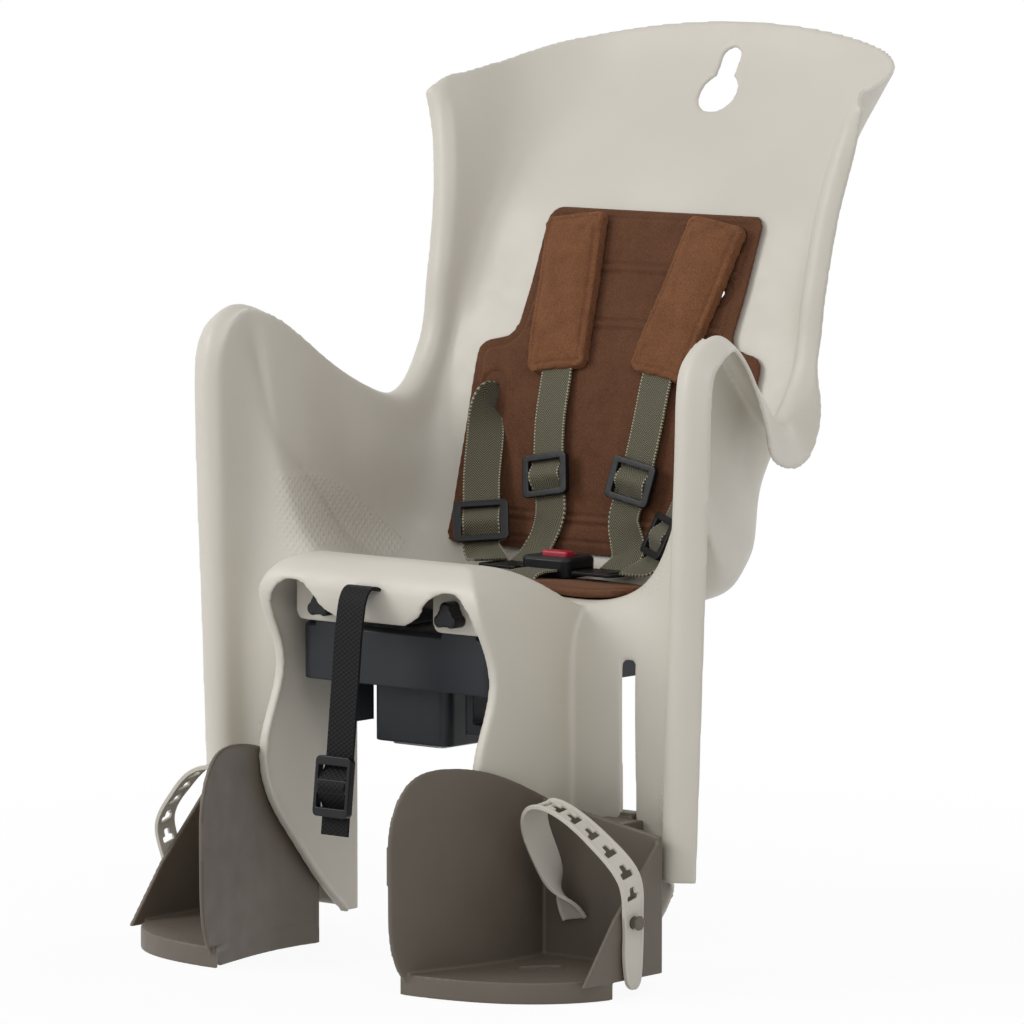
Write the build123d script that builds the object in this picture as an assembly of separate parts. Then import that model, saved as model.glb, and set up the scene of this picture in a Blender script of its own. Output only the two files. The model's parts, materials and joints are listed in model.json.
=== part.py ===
"""Child seat for a bicycle carrier: moulded shell, harness, carrier mount and adjustable footrests.

Frame: +Z up, the child faces -Y, the child's left is +X. The origin is the middle of the flat
underside of the mount block, where the carrier rails bear. All sizes are millimetres.
"""
import os
from math import cos, radians, sin

from build123d import *

# Shell: wall, seat pan and the reclining back, measured along the middle line
WALL = 3.4
PAN_Z = 57.0
PAN_LENGTH = 124.0
PAN_RISE = 4.0
FOLD_Y = 112.0
FOLD_RADIUS = 30.0
LOWER_BACK = 131.0
LOWER_LEAN = 12.5
UPPER_BACK = 127.0
UPPER_LEAN = 24.0
NECK_BACK = 113.0
NECK_LEAN = 37.5
HEAD_BACK = 80.0
HEAD_LEAN = 30.0
PAD_FLAT = 106.0
HEAD_FLAT = 24.0
LEG_FLAT = 150.0

# Shell: rim line of one side, from the head corner over the arm to the foot of the leg guard
WING_HALF = 168.0
WING_Y = 144.0
WING_Z = 228.0
CORNER_HALF = 206.0
CORNER_Y = 186.0
CORNER_Z = 446.0
ARMHOLE_HALF = 172.0
ARMHOLE_Y = 113.0
ARMHOLE_Z = 192.0
ARM_HALF = 216.0
ARM_TOP_Y = -18.0
ARM_TOP_Z = 264.0
ARM_NOSE = 42.0
COLUMN_Y = -55.0
COLUMN_HALF = 204.0
COLUMN_BOTTOM = -128.0

# Shell: rolled rim
ROLL = 14.0
ROLL_TURN = 115.0
HEAD_TURN = 40.0
WING_FLANGE = 5.0
HEAD_FLANGE = 14.0
COLUMN_FLANGE = 13.0
LOBE_FLANGE = 28.0
LOBE_TURN = 38.0
SIDE_LEAN = 8.0

# Shell: head edge, carrying hole and leg guards
HEAD_TOP = 470.0
HEAD_EDGE_DROP = 40.0
HEAD_EDGE_HALF = 229.0
HEAD_CORNER = 100.0
KEYHOLE_RADIUS = 17.0
KEYHOLE_NECK = 8.5
KEYHOLE_LENGTH = 31.0
LEG_BACK_Y = -27.0
LEG_BOTTOM = -181.0
LEG_SLOT_X = 158.0
LEG_SLOT_WIDTH = 12.0
LEG_SLOT_TOP = 25.0
LEG_SLOT_LENGTH = 128.0

# Shell: middle hump over the carrier, its arch, lugs and the frame strap slot
HUMP_HALF = 106.0
HUMP_TOP = 94.0
HUMP_PEAK_Y = -95.0
HUMP_FRONT = -131.0
HUMP_EDGE = 34.0
ARCH_HALF = 97.0
ARCH_SPRING = 40.0
ARCH_TOP = 76.0
ARCH_TOP_X = 78.0
TONGUE_HALF = 30.0
TONGUE_BOTTOM = 49.0
LEG_WAIST_Y = -112.0
LEG_WAIST_Z = 12.0
LEG_KNEE_Y = -131.0
LEG_KNEE_Z = -55.0
LEG_HEEL_Y = -41.0
LUG_WIDTH = 54.0
LUG_SHIFT = 5.0
LUG_THICK = 4.0
LUG_BOTTOM = 43.0
STRAP_SLOT_Z = 74.0

# Soft pads
PAD_GAP = 0.9
PAD_THICK = 6.0
BACK_PAD_TOP = 331.0
BACK_PAD_STEP = 236.0
BACK_PAD_BOTTOM = 78.0
BACK_PAD_UPPER_HALF = 103.0
BACK_PAD_LOWER_HALF = 136.0
PAD_CORNER = 12.0
SEAT_PAD_FRONT = 4.0
SEAT_PAD_REAR = 98.0
SEAT_PAD_HALF = 134.0
SHOULDER_PAD_WIDTH = 56.0
SHOULDER_PAD_TOP = 321.0
SHOULDER_PAD_LENGTH = 128.0
SHOULDER_PAD_THICK = 9.0

# Harness webbing and its slots
WEB_WIDTH = 28.0
WEB_THICK = 1.6
SLOT_WIDTH = 32.0
SLOT_HEIGHT = 6.0
SHOULDER_X = 68.0
SHOULDER_Z = 309.0
SPARE_SLOT_Z = 272.0
CHEST_X = 48.0
CHEST_Z = 207.0
LAP_X = 30.0
LAP_Z = 84.0
HIP_X = 112.0
HIP_Z = 183.0
CROTCH_Y = 40.0
GLIDE_WIDTH = 42.0
GLIDE_LENGTH = 32.0
GLIDE_THICK = 4.5

# Buckle
BUCKLE_WIDTH = 46.0
BUCKLE_LENGTH = 36.0
BUCKLE_THICK = 15.0
BUCKLE_Y = 86.0
BUCKLE_WALL = 2.2
BUTTON_WIDTH = 24.0
BUTTON_LENGTH = 11.0
BUTTON_RISE = 3.5
TONGUE_WIDTH = 22.0
TONGUE_LENGTH = 56.0
TONGUE_GRIP = 14.0
TONGUE_THICK = 2.4

# Frame strap with its ladder lock
FRAME_STRAP_WIDTH = 25.0
FRAME_STRAP_THICK = 2.0
FRAME_STRAP_END_Y = -163.0
FRAME_STRAP_END_Z = -66.0
LOCK_WIDTH = 33.0
LOCK_LENGTH = 44.0
LOCK_THICK = 6.0

# Carrier mount: block, step, plate, jaws, screws and hand knobs
BLOCK_HALF = 92.0
BLOCK_FRONT = -100.0
BLOCK_REAR = 96.0
BLOCK_TOP = 42.0
BLOCK_WALL = 6.0
STEP_HALF = 36.0
STEP_BOTTOM = -43.0
STEP_FRONT = -84.0
STEP_REAR = 70.0
PLATE_HALF = 25.0
PLATE_THICK = 2.5
KNOB_X = 60.5
KNOB_Z = 57.0
KNOB_REACH = 6.2
KNOB_LOBE = 4.8
KNOB_THICK = 13.0
STUD_RADIUS = 4.0
STUD_LENGTH = 34.0
FIT = 0.35
JAW_X = 58.0
JAW_WEB = 8.0
JAW_DEPTH = 32.0
JAW_LIP = 15.0
JAW_FINGER = 26.0
JAW_FRONT = -86.0
JAW_REAR = 62.0
JAW_TRAVEL = 10.0
JAW_TEETH = 5
JAW_CARRIAGE = 22.0
JAW_MIDDLE = -12.0
SCREW_RADIUS = 3.0
SCREW_HEAD = 5.0

# Footrests
FOOT_INNER = 107.0
FOOT_OUTER = 218.0
FOOT_WALL = 3.5
FOOT_FLOOR = -188.0
FOOT_FRONT = -212.0
FOOT_TOE_IN = 19.0
FOOT_HEEL = -62.0
FOOT_TOP_FRONT = -44.0
FOOT_TOP_HEEL = -74.0
FOOT_SIDE_TOP = -93.0
FOOT_SIDE_FRONT = -150.0
FOOT_TOE_Y = -197.0
FOOT_LIP = 12.0
GUIDE_WIDTH = 34.0
GUIDE_HEIGHT = 54.0
CATCH_HEIGHT = 18.0
CATCH_HEAD = 6.0
PEG_RADIUS = 4.0
PEG_Y = -98.0
PEG_Z = -150.0
FOOT_STRAP_WIDTH = 20.0
FOOT_STRAP_THICK = 2.6
FOOT_STRAP_HOLES = 7


def smooth(s):
    """Ease from 0 to 1."""
    return s * s * (3 - 2 * s)


def bump(t, centre, half):
    """Smooth hill of height 1 around a station, zero beyond half."""
    return max(0.0, 1 - ((t - centre) / half) ** 2) ** 2


def flow(points, t):
    """Point at station t on a smooth curve through evenly numbered points."""
    last = len(points) - 1
    i = min(int(t), last - 1)
    f = t - i
    p1, p2 = points[i], points[i + 1]
    p0 = points[i - 1] if i > 0 else p1 * 2 - p2
    p3 = points[i + 2] if i + 2 <= last else p2 * 2 - p1
    curve = (p0 * 2 - p1 * 5 + p2 * 4 - p3) * f**2 + (p1 * 3 - p0 - p2 * 3 + p3) * f**3
    return (p1 * 2 + (p2 - p0) * f + curve) * 0.5


def leaning(start, length, lean):
    """Point on the middle plane, a length away along a line that leans back from the vertical."""
    return start + Vector(0, sin(radians(lean)), cos(radians(lean))) * length


def spine_points():
    """Middle line of the shell, from the head down the back, over the pan and down the leg guard."""
    low = Vector(0, FOLD_Y + FOLD_RADIUS * 0.55, PAN_Z + FOLD_RADIUS)
    waist = leaning(low, LOWER_BACK, LOWER_LEAN)
    neck = leaning(waist, UPPER_BACK, UPPER_LEAN)
    head = leaning(neck, NECK_BACK, NECK_LEAN)
    top = leaning(head, HEAD_BACK, HEAD_LEAN)
    middle = (PAN_Z + LEG_BOTTOM) / 2
    return [
        top,
        head,
        (head + neck) * 0.5,
        neck,
        (neck + waist) * 0.5,
        waist,
        (waist + low) * 0.5,
        low,
        Vector(0, FOLD_Y - FOLD_RADIUS * 0.3, PAN_Z + 2),
        Vector(0, FOLD_Y - PAN_LENGTH * 0.4, PAN_Z),
        Vector(0, FOLD_Y - PAN_LENGTH * 0.75, PAN_Z + PAN_RISE),
        Vector(0, FOLD_Y - PAN_LENGTH, PAN_Z + PAN_RISE / 2),
        Vector(0, LEG_BACK_Y, PAN_Z - 32),
        Vector(0, LEG_BACK_Y, middle),
        Vector(0, LEG_BACK_Y, LEG_BOTTOM),
    ]


def rim_points():
    """Highest line of the rolled rim on the child's left, station by station with the spine."""
    corner = Vector(CORNER_HALF, CORNER_Y, CORNER_Z)
    wing = Vector(WING_HALF, WING_Y, WING_Z)
    hole = Vector(ARMHOLE_HALF, ARMHOLE_Y, ARMHOLE_Z)
    arm = Vector(ARM_HALF, ARM_TOP_Y, ARM_TOP_Z)
    shoulder = ARM_TOP_Z - ARM_NOSE * 1.8
    points = []
    for s in (1.0, 0.78, 0.58, 0.4, 0.2, 0.0):
        p = wing + (corner - wing) * s
        points.append(Vector(WING_HALF + (CORNER_HALF - WING_HALF) * s**3.4, p.Y, p.Z))
    for s in (0.0, 0.36, 0.72, 1.0):
        p = hole + (arm - hole) * s
        z = hole.Z + (arm.Z - hole.Z) * smooth(s)
        points.append(Vector(hole.X + (arm.X - hole.X) * s**0.8, p.Y, z))
    points.append(Vector(ARM_HALF, COLUMN_Y + 6, ARM_TOP_Z - ARM_NOSE * 0.55))
    for s in (0.0, 0.45, 0.8, 1.0):
        x = ARM_HALF + (COLUMN_HALF - ARM_HALF) * s
        points.append(Vector(x, COLUMN_Y, shoulder + (COLUMN_BOTTOM - shoulder) * s))
    return points


SPINE = spine_points()
RIM = rim_points()
LAST = len(RIM) - 1
ACROSS = Vector(1, 0, 0)
BACK_STATION, HOLE_STATION, NOSE_STATION, LIP_STATION = 4.0, 6.2, 10.0, 11.0


def half_section(t):
    """Points of the shell's inner face from the middle line to the rim's outer edge, at one station."""
    middle = flow(SPINE, t)
    step = flow(RIM, min(t + 0.05, LAST)) - flow(RIM, max(t - 0.05, 0))
    step = Vector(0, step.Y, step.Z).normalized()
    out = Vector(0, step.Z, -step.Y)
    lean = radians(SIDE_LEAN)
    up = out * cos(lean) + ACROSS * sin(lean)
    side = ACROSS * cos(lean) - out * sin(lean)
    lobe = bump(t, HOLE_STATION + 0.25, 1.6)
    column = smooth(min(1, max(0, (t - HOLE_STATION) / 3)))
    crest = flow(RIM, t) - up * ROLL
    flat = HEAD_FLAT + (PAD_FLAT - HEAD_FLAT) * smooth(min(1, t / BACK_STATION))
    flat += (LEG_FLAT - PAD_FLAT) * smooth(min(1, max(0, t - LIP_STATION)))
    foot = Vector(flat, middle.Y, middle.Z)
    reach = Vector(0, crest.Y - middle.Y, crest.Z - middle.Z).length
    square = 0.62 + 0.2 * bump(t, HOLE_STATION + 1, 2.5)
    heel = foot + ACROSS * square * (crest.X - foot.X)
    wall = crest - up * (0.5 - 0.3 * bump(t, NOSE_STATION + 0.3, 2.4)) * reach
    polygon = [foot, heel, heel + (wall - heel) * 0.3, wall, crest]
    points = [middle, (middle + foot) * 0.5]
    for j in range(5):
        q = j / 4
        weights = [(1 - q)**4, 4 * q * (1 - q)**3, 6 * q**2 * (1 - q)**2, 4 * q**3 * (1 - q), q**4]
        points.append(sum((p * w for p, w in zip(polygon, weights)), Vector(0, 0, 0)))
    rolled = smooth(min(1, t / 1.6))
    turn = radians(HEAD_TURN + (ROLL_TURN - HEAD_TURN) * rolled + LOBE_TURN * lobe)
    for j in range(1, 4):
        a = turn * j / 3
        points.append(crest + (up * sin(a) + side * (1 - cos(a))) * ROLL)
    flange = HEAD_FLANGE + (WING_FLANGE - HEAD_FLANGE) * rolled
    flange += (COLUMN_FLANGE - WING_FLANGE) * column
    flange += (LOBE_FLANGE - flange) * lobe
    points.append(points[-1] + (up * cos(turn) + side * sin(turn)) * flange)
    return points


def full_section(t):
    """One station's points from the right rim edge to the left rim edge."""
    half = half_section(t)
    return [Vector(-p.X, p.Y, p.Z) for p in reversed(half[1:])] + half


def normal_at(grid, i, j):
    """Direction out of the shell towards the child at a grid point."""
    along = grid[min(i + 1, len(grid) - 1)][j] - grid[max(i - 1, 0)][j]
    across = grid[i][min(j + 1, len(grid[0]) - 1)] - grid[i][max(j - 1, 0)]
    return along.cross(across).normalized()


def raised(grid, height):
    """The grid moved towards the child by a height, or away from the child where it is negative."""
    return [[p + normal_at(grid, i, j) * height for j, p in enumerate(row)] for i, row in enumerate(grid)]


def skin(grid):
    """Smooth face through a grid of points."""
    marks = [k / (len(grid[0]) - 1) for k in range(len(grid[0]))]
    return Shell.make_loft([Wire([Edge.make_spline(row, parameters=marks)]) for row in grid]).faces()[0]


def between(low_grid, high_grid):
    """Closed solid between two grids of the same size."""
    low, high = skin(low_grid), skin(high_grid)
    sides = []
    for edge in low.edges():
        other = min(high.edges(), key=lambda e: (e.position_at(0.5) - edge.position_at(0.5)).length)
        sides.append(Face.make_surface_from_curves(edge, other))
    return Solid(Shell([low, high] + sides))


SHELL_ROWS = 2 * LAST
SHELL_GRID = [full_section(LAST * i / SHELL_ROWS) for i in range(SHELL_ROWS + 1)]
CENTRE = len(SHELL_GRID[0]) // 2


def box(x0, x1, y0, y1, z0, z1):
    """Box between two corners."""
    solid = Box(x1 - x0, y1 - y0, z1 - z0)
    return Pos((x0 + x1) / 2, (y0 + y1) / 2, (z0 + z1) / 2) * solid


def side_plate(face, x0, x1):
    """Outline drawn in (y, z), extruded from x0 to x1."""
    return extrude(Plane.YZ.offset(x0) * face, amount=x1 - x0)


def front_plate(face, y0, y1):
    """Outline drawn in (x, z), extruded from y0 back to y1."""
    return extrude(Plane.XZ.offset(-y1) * face, amount=y1 - y0)


def mirrored(solid):
    """The same piece on the child's right."""
    return mirror(solid, about=Plane.YZ)


def back_station(z):
    """Station on the back where the middle line has this height."""
    low, high = 0.0, 7.4
    for _ in range(40):
        t = (low + high) / 2
        low, high = (t, high) if flow(SPINE, t).Z > z else (low, t)
    return low


def back_plane(x, z, height=0.0):
    """Plane on the back's front face: x across, y up the back, z towards the child."""
    t = back_station(z)
    rise = (flow(SPINE, t - 0.05) - flow(SPINE, t + 0.05)).normalized()
    facing = Vector(0, -rise.Z, rise.Y)
    point = flow(SPINE, t)
    return Plane(Vector(x, point.Y, point.Z) + facing * height, x_dir=(1, 0, 0), z_dir=facing)


# Seat shell

def hump_line(inset):
    """Side outline of the hump and of the leg guard's front edge, moved inwards by inset."""
    start = FOLD_Y - PAN_LENGTH * 0.8
    brow = HUMP_TOP - 22
    line = [
        Vector(start, PAN_Z),
        Vector((start + HUMP_PEAK_Y) / 2 - 4, PAN_Z + 0.46 * (HUMP_TOP - PAN_Z)),
        Vector(HUMP_PEAK_Y, HUMP_TOP),
        Vector(HUMP_FRONT + 9, HUMP_TOP - 6),
        Vector(HUMP_FRONT, brow),
        Vector((HUMP_FRONT + LEG_WAIST_Y) / 2, (brow + LEG_WAIST_Z) / 2),
        Vector(LEG_WAIST_Y, LEG_WAIST_Z),
        Vector((LEG_WAIST_Y + LEG_KNEE_Y) / 2, (LEG_WAIST_Z + LEG_KNEE_Z) / 2),
        Vector(LEG_KNEE_Y, LEG_KNEE_Z),
        Vector(LEG_KNEE_Y + 9, LEG_KNEE_Z - 33),
        Vector(LEG_KNEE_Y + 0.37 * (LEG_HEEL_Y - LEG_KNEE_Y), LEG_KNEE_Z + 0.52 * (LEG_BOTTOM - LEG_KNEE_Z)),
        Vector(LEG_KNEE_Y + 0.7 * (LEG_HEEL_Y - LEG_KNEE_Y), LEG_KNEE_Z + 0.8 * (LEG_BOTTOM - LEG_KNEE_Z)),
        Vector(LEG_HEEL_Y, LEG_BOTTOM),
    ]
    moved = []
    for i, p in enumerate(line):
        d = (line[min(i + 1, len(line) - 1)] - line[max(i - 1, 0)]).normalized()
        moved.append(p + Vector(-d.Y, d.X) * inset)
    return moved


def arched_block(inset, depth):
    """Hump form with rounded top edges, smaller all round by inset and longer below by depth."""
    line = hump_line(inset)
    rear = LEG_BACK_Y + WALL + 1.5 + depth
    bottom = LEG_BOTTOM - 1 - depth
    roof = PAN_Z - WALL - 6
    closing = [(line[-1].X, bottom - 2), (rear, bottom - 2), (rear, roof), (line[0].X, roof)]
    outline = Spline(*line) + Polyline(line[-1], *closing, line[0])
    half = HUMP_HALF - inset
    top = HUMP_TOP - inset
    tall = Pos(0, (top + bottom) / 2) * Rectangle(2 * half, top - bottom)
    tall = fillet(tall.vertices().group_by(Axis.Y)[-1], HUMP_EDGE - inset)
    return side_plate(make_face(outline), -half, half) & front_plate(tall, HUMP_FRONT - 40, rear + 80)


def arch_opening():
    """Front opening of the hump: two knob recesses, the strap tongue between them, the wheel arch below."""
    curve = [
        (ARCH_HALF, ARCH_SPRING),
        (ARCH_HALF - 4, (ARCH_SPRING + 2 * ARCH_TOP) / 3),
        (ARCH_TOP_X, ARCH_TOP),
        ((ARCH_TOP_X + TONGUE_HALF) / 2, (2 * ARCH_TOP + TONGUE_BOTTOM) / 3),
        (TONGUE_HALF, TONGUE_BOTTOM),
    ]
    left = Spline(*curve, tangents=((0, 1), (-1, -0.4)))
    right = Spline(*[(-x, z) for x, z in curve], tangents=((0, 1), (1, -0.4)))
    tongue = Line(curve[-1], (-curve[-1][0], curve[-1][1]))
    floor = LEG_BOTTOM - 40
    foot = Polyline(curve[0], (ARCH_HALF, floor), (-ARCH_HALF, floor), (-ARCH_HALF, ARCH_SPRING))
    return front_plate(make_face(left + tongue + right + foot), HUMP_FRONT - 60, HUMP_PEAK_Y)


def head_trim():
    """Everything above the head's arched top edge."""
    low = HEAD_TOP - HEAD_EDGE_DROP
    side = [(HEAD_EDGE_HALF, low), (HEAD_EDGE_HALF, low - 120), (-HEAD_EDGE_HALF, low - 120)]
    edge = ThreePointArc((-HEAD_EDGE_HALF, low), (0, HEAD_TOP), (HEAD_EDGE_HALF, low))
    keep = make_face(edge + Polyline(*side, (-HEAD_EDGE_HALF, low)))
    keep = fillet(keep.vertices().sort_by(Axis.Y)[-2:], HEAD_CORNER)
    around = Pos(0, low) * Rectangle(2 * HEAD_EDGE_HALF + 80, 239)
    return front_plate(around - keep, 60, 460)


def keyhole():
    """Carrying and hanging hole through the head."""
    plane = back_plane(0, HEAD_TOP - 53)
    neck = Pos(0, KEYHOLE_LENGTH / 2) * SlotCenterToCenter(KEYHOLE_LENGTH, 2 * KEYHOLE_NECK, rotation=90)
    return extrude(plane * (Circle(KEYHOLE_RADIUS) + neck), amount=30, both=True)


def web_slot(plane):
    """Slot for webbing through the shell and the pad."""
    return extrude(plane * SlotOverall(SLOT_WIDTH, SLOT_HEIGHT), amount=16, both=True)


def shell_slots():
    """Webbing slots of the shoulder, hip and crotch straps."""
    slots = []
    for side in (-1, 1):
        slots.append(web_slot(back_plane(side * SHOULDER_X, SHOULDER_Z)))
        slots.append(web_slot(back_plane(side * SHOULDER_X, SPARE_SLOT_Z)))
        slots.append(web_slot(back_plane(side * HIP_X, HIP_Z) * Rot(0, 0, 90)))
    slots.append(web_slot(Plane((0, CROTCH_Y, PAN_Z))))
    return slots


def seat_shell():
    """One-piece moulded shell."""
    shell = between(raised(SHELL_GRID, -WALL), SHELL_GRID)
    inside = HUMP_HALF - WALL / 2
    shell = shell - box(-inside, inside, LEG_BACK_Y - 30, LEG_BACK_Y + 40, LEG_BOTTOM - 20, PAN_Z - 10)
    shell = shell - head_trim() - keyhole()
    hump = arched_block(0, 0) - arched_block(WALL, 30) - arch_opening()
    hump -= box(-ARCH_HALF, ARCH_HALF, HUMP_FRONT - 60, LEG_BACK_Y + 40, LEG_BOTTOM - 40, LEG_WAIST_Z)
    lug_x = KNOB_X + LUG_SHIFT - LUG_WIDTH / 2
    lug_top = HUMP_TOP - WALL / 2
    lug = box(lug_x, lug_x + LUG_WIDTH, BLOCK_FRONT - LUG_THICK, BLOCK_FRONT, LUG_BOTTOM, lug_top)
    lug = fillet(lug.edges().filter_by(Axis.Y).group_by(Axis.Z)[0], 8) & arched_block(WALL / 2, 0)
    lug -= Pos(KNOB_X, BLOCK_FRONT, KNOB_Z) * Rot(90, 0, 0) * Cylinder(STUD_RADIUS + FIT, 20)
    shell = shell + hump + lug + mirrored(lug)
    strap = Plane((0, HUMP_FRONT, STRAP_SLOT_Z), x_dir=(1, 0, 0), z_dir=(0, -0.87, 0.5))
    shell -= extrude(strap * SlotOverall(FRAME_STRAP_WIDTH + 6, 4), amount=20, both=True)
    for side in (-1, 1):
        x = side * LEG_SLOT_X
        half = LEG_SLOT_WIDTH / 2
        low = LEG_SLOT_TOP - LEG_SLOT_LENGTH
        shell -= box(x - half, x + half, LEG_BACK_Y - 20, LEG_BACK_Y + 20, low, LEG_SLOT_TOP)
    for slot in shell_slots():
        shell -= slot
    return shell


# Pads

def layer(first, last, columns):
    """Padding layer over the shell between two rows, a few grid columns either side of the middle."""
    grid = [row[CENTRE - columns:CENTRE + columns + 1] for row in SHELL_GRID[first:last + 1]]
    return between(raised(grid, PAD_GAP), raised(grid, PAD_GAP + PAD_THICK))


def back_pad():
    """T-shaped back pad."""
    corners = [
        (-BACK_PAD_UPPER_HALF, BACK_PAD_TOP),
        (BACK_PAD_UPPER_HALF, BACK_PAD_TOP),
        (BACK_PAD_UPPER_HALF, BACK_PAD_STEP),
        (BACK_PAD_LOWER_HALF, BACK_PAD_STEP - 7),
        (BACK_PAD_LOWER_HALF, BACK_PAD_BOTTOM),
        (-BACK_PAD_LOWER_HALF, BACK_PAD_BOTTOM),
        (-BACK_PAD_LOWER_HALF, BACK_PAD_STEP - 7),
        (-BACK_PAD_UPPER_HALF, BACK_PAD_STEP),
    ]
    outline = make_face(Polyline(*corners, close=True))
    outline = fillet(outline.vertices(), PAD_CORNER)
    pad = layer(5, 15, 5) & front_plate(outline, 0, 300)
    for slot in shell_slots():
        pad -= slot
    return pad


def seat_pad():
    """Seat pad with a rounded front."""
    middle = (SEAT_PAD_FRONT + SEAT_PAD_REAR) / 2
    length = SEAT_PAD_REAR - SEAT_PAD_FRONT
    outline = Pos(0, middle) * RectangleRounded(2 * SEAT_PAD_HALF, length, 2 * PAD_CORNER)
    pad = layer(16, 22, 5) & extrude(outline, amount=200, both=True)
    for slot in shell_slots():
        pad -= slot
    return pad


# Webbing

def band_frame(path, t):
    """Plane on a band at station t: x across the band, z out of its face."""
    points, facing = path
    last = len(points) - 1
    along = flow(points, min(t + 0.1, last)) - flow(points, max(t - 0.1, 0))
    across = along.cross(flow(facing, t)).normalized()
    return Plane(flow(points, t), x_dir=across, z_dir=across.cross(along))


def ribbon(path, width, thick, lift=0.0):
    """Flat band along a path of points and facing directions, raised over the path by lift."""
    sections = []
    for k in range(2 * len(path[0]) - 1):
        section = Pos(0, lift + thick / 2) * Rectangle(width, thick)
        frame = band_frame(path, k / 2)
        across = Plane(frame.origin, x_dir=frame.x_dir, z_dir=frame.x_dir.cross(frame.z_dir))
        sections.append((across * section).wire())
    return Solid.make_loft(sections, ruled=True)


STRAP_LIFT = PAD_GAP + PAD_THICK + 3 * FIT + (SHOULDER_PAD_THICK - WEB_THICK) / 2
BUCKLE_BASE = PAN_Z + PAD_GAP + PAD_THICK + 1.8
TONGUE_Z = BUCKLE_BASE + BUCKLE_WALL + 1.4


def strap_run(stations):
    """Middle line of the shoulder pad, following the back from its top at 0 to the chest at 1."""
    points = []
    facing = []
    for s in stations:
        x = SHOULDER_X + (CHEST_X - SHOULDER_X) * s
        plane = back_plane(x, SHOULDER_PAD_TOP + (CHEST_Z - SHOULDER_PAD_TOP) * s, STRAP_LIFT)
        points.append(plane.origin)
        facing.append(plane.z_dir)
    return points, facing


def shoulder_path():
    """Webbing from the shoulder slot through the shoulder pad and the slide to the lap."""
    slot = back_plane(SHOULDER_X, SHOULDER_Z)
    points = [slot.origin - slot.z_dir * 8, slot.origin + slot.z_dir * (STRAP_LIFT - 4)]
    facing = [slot.y_dir, slot.y_dir + slot.z_dir * 0.4]
    run = strap_run((0.2, 0.4, 0.6, 0.8, 1.0))
    points += run[0]
    facing += run[1]
    for s in (0.3, 0.61, 0.84):
        x = CHEST_X + (LAP_X - CHEST_X) * s * s
        plane = back_plane(x, CHEST_Z + (LAP_Z - CHEST_Z) * s, STRAP_LIFT + 2)
        points.append(plane.origin)
        facing.append(plane.z_dir)
    points.append(Vector(LAP_X + 13, BUCKLE_Y + BUCKLE_LENGTH / 2 + 12, BUCKLE_BASE + 16))
    facing.append(Vector(0, -0.7, 0.7))
    points.append(Vector(LAP_X + 13, BUCKLE_Y + TONGUE_WIDTH / 2 + 3, TONGUE_Z + 1))
    facing.append(Vector(0, -0.3, 0.95))
    return points, facing


def hip_path():
    """Webbing from the hip slot in the back pad through its slide to the buckle tongue."""
    slot = back_plane(HIP_X, HIP_Z)
    end = Vector(BUCKLE_WIDTH / 2 + TONGUE_LENGTH - TONGUE_GRIP - 2, BUCKLE_Y - 3, TONGUE_Z + TONGUE_THICK + FIT)
    points = [
        slot.origin - slot.z_dir * 8,
        slot.origin + slot.z_dir * 12,
        slot.origin + Vector(-9, -25, -24),
        slot.origin + Vector(-15, -36, -55),
        slot.origin + Vector(-25.5, -48, -90),
        slot.origin + Vector(-30.5, -54, -105),
        end,
    ]
    facing = [
        Vector(-1, 0, 0.1),
        Vector(-1, -0.1, 0.1),
        Vector(-0.7, -0.7, 0.3),
        Vector(-0.5, -0.8, 0.3),
        Vector(-0.5, -0.8, 0.3),
        Vector(-0.4, -0.7, 0.5),
        Vector(0, 0, 1),
    ]
    return points, facing


def crotch_path():
    """Webbing from the slot in the pan to the buckle's front edge."""
    front = BUCKLE_Y - BUCKLE_LENGTH / 2 - FIT
    points = [
        Vector(0, CROTCH_Y, PAN_Z - 8),
        Vector(0, CROTCH_Y, PAN_Z + 3),
        Vector(0, CROTCH_Y + 3, BUCKLE_BASE + 2),
        Vector(0, CROTCH_Y + 12, BUCKLE_BASE + 5),
        Vector(0, front, BUCKLE_BASE + 5),
    ]
    facing = [
        Vector(0, -1, 0),
        Vector(0, -1, 0.1),
        Vector(0, -0.7, 0.7),
        Vector(0, -0.2, 1),
        Vector(0, 0, 1),
    ]
    return points, facing


def frame_path():
    """Safety strap from its slot in the hump down in front of the mount."""
    drop = FRAME_STRAP_END_Z - STRAP_SLOT_Z
    away = FRAME_STRAP_END_Y - HUMP_FRONT
    points = [
        Vector(0, HUMP_FRONT + 14, STRAP_SLOT_Z - 8),
        Vector(0, HUMP_FRONT - 4, STRAP_SLOT_Z + 2.3),
        Vector(0, HUMP_FRONT + away * 0.45, STRAP_SLOT_Z - 4),
    ]
    facing = [Vector(0, 0.5, 0.87), Vector(0, 0.2, 1), Vector(0, -1, 0.6)]
    for s in (0.2, 0.4, 0.6, 0.8, 1.0, 1.25):
        points.append(Vector(0, HUMP_FRONT + away * (0.52 + 0.48 * s), STRAP_SLOT_Z + drop * s))
        facing.append(Vector(0, -1, 0.1))
    return points, facing


def slide_frame(width, length, thick, slit):
    """Three-bar slide for webbing, lying on the XY plane."""
    frame = extrude(RectangleRounded(width, length, 4), amount=thick)
    for side in (-1, 1):
        window = Pos(0, side * length * 0.23) * Rectangle(slit, length * 0.24)
        frame -= extrude(window, amount=thick)
    return frame


def slide_on(path, t, height, frame):
    """Slide resting over a band at station t, a height above the band's path."""
    return band_frame(path, t) * Pos(0, 0, height + 2 * FIT) * frame


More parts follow.
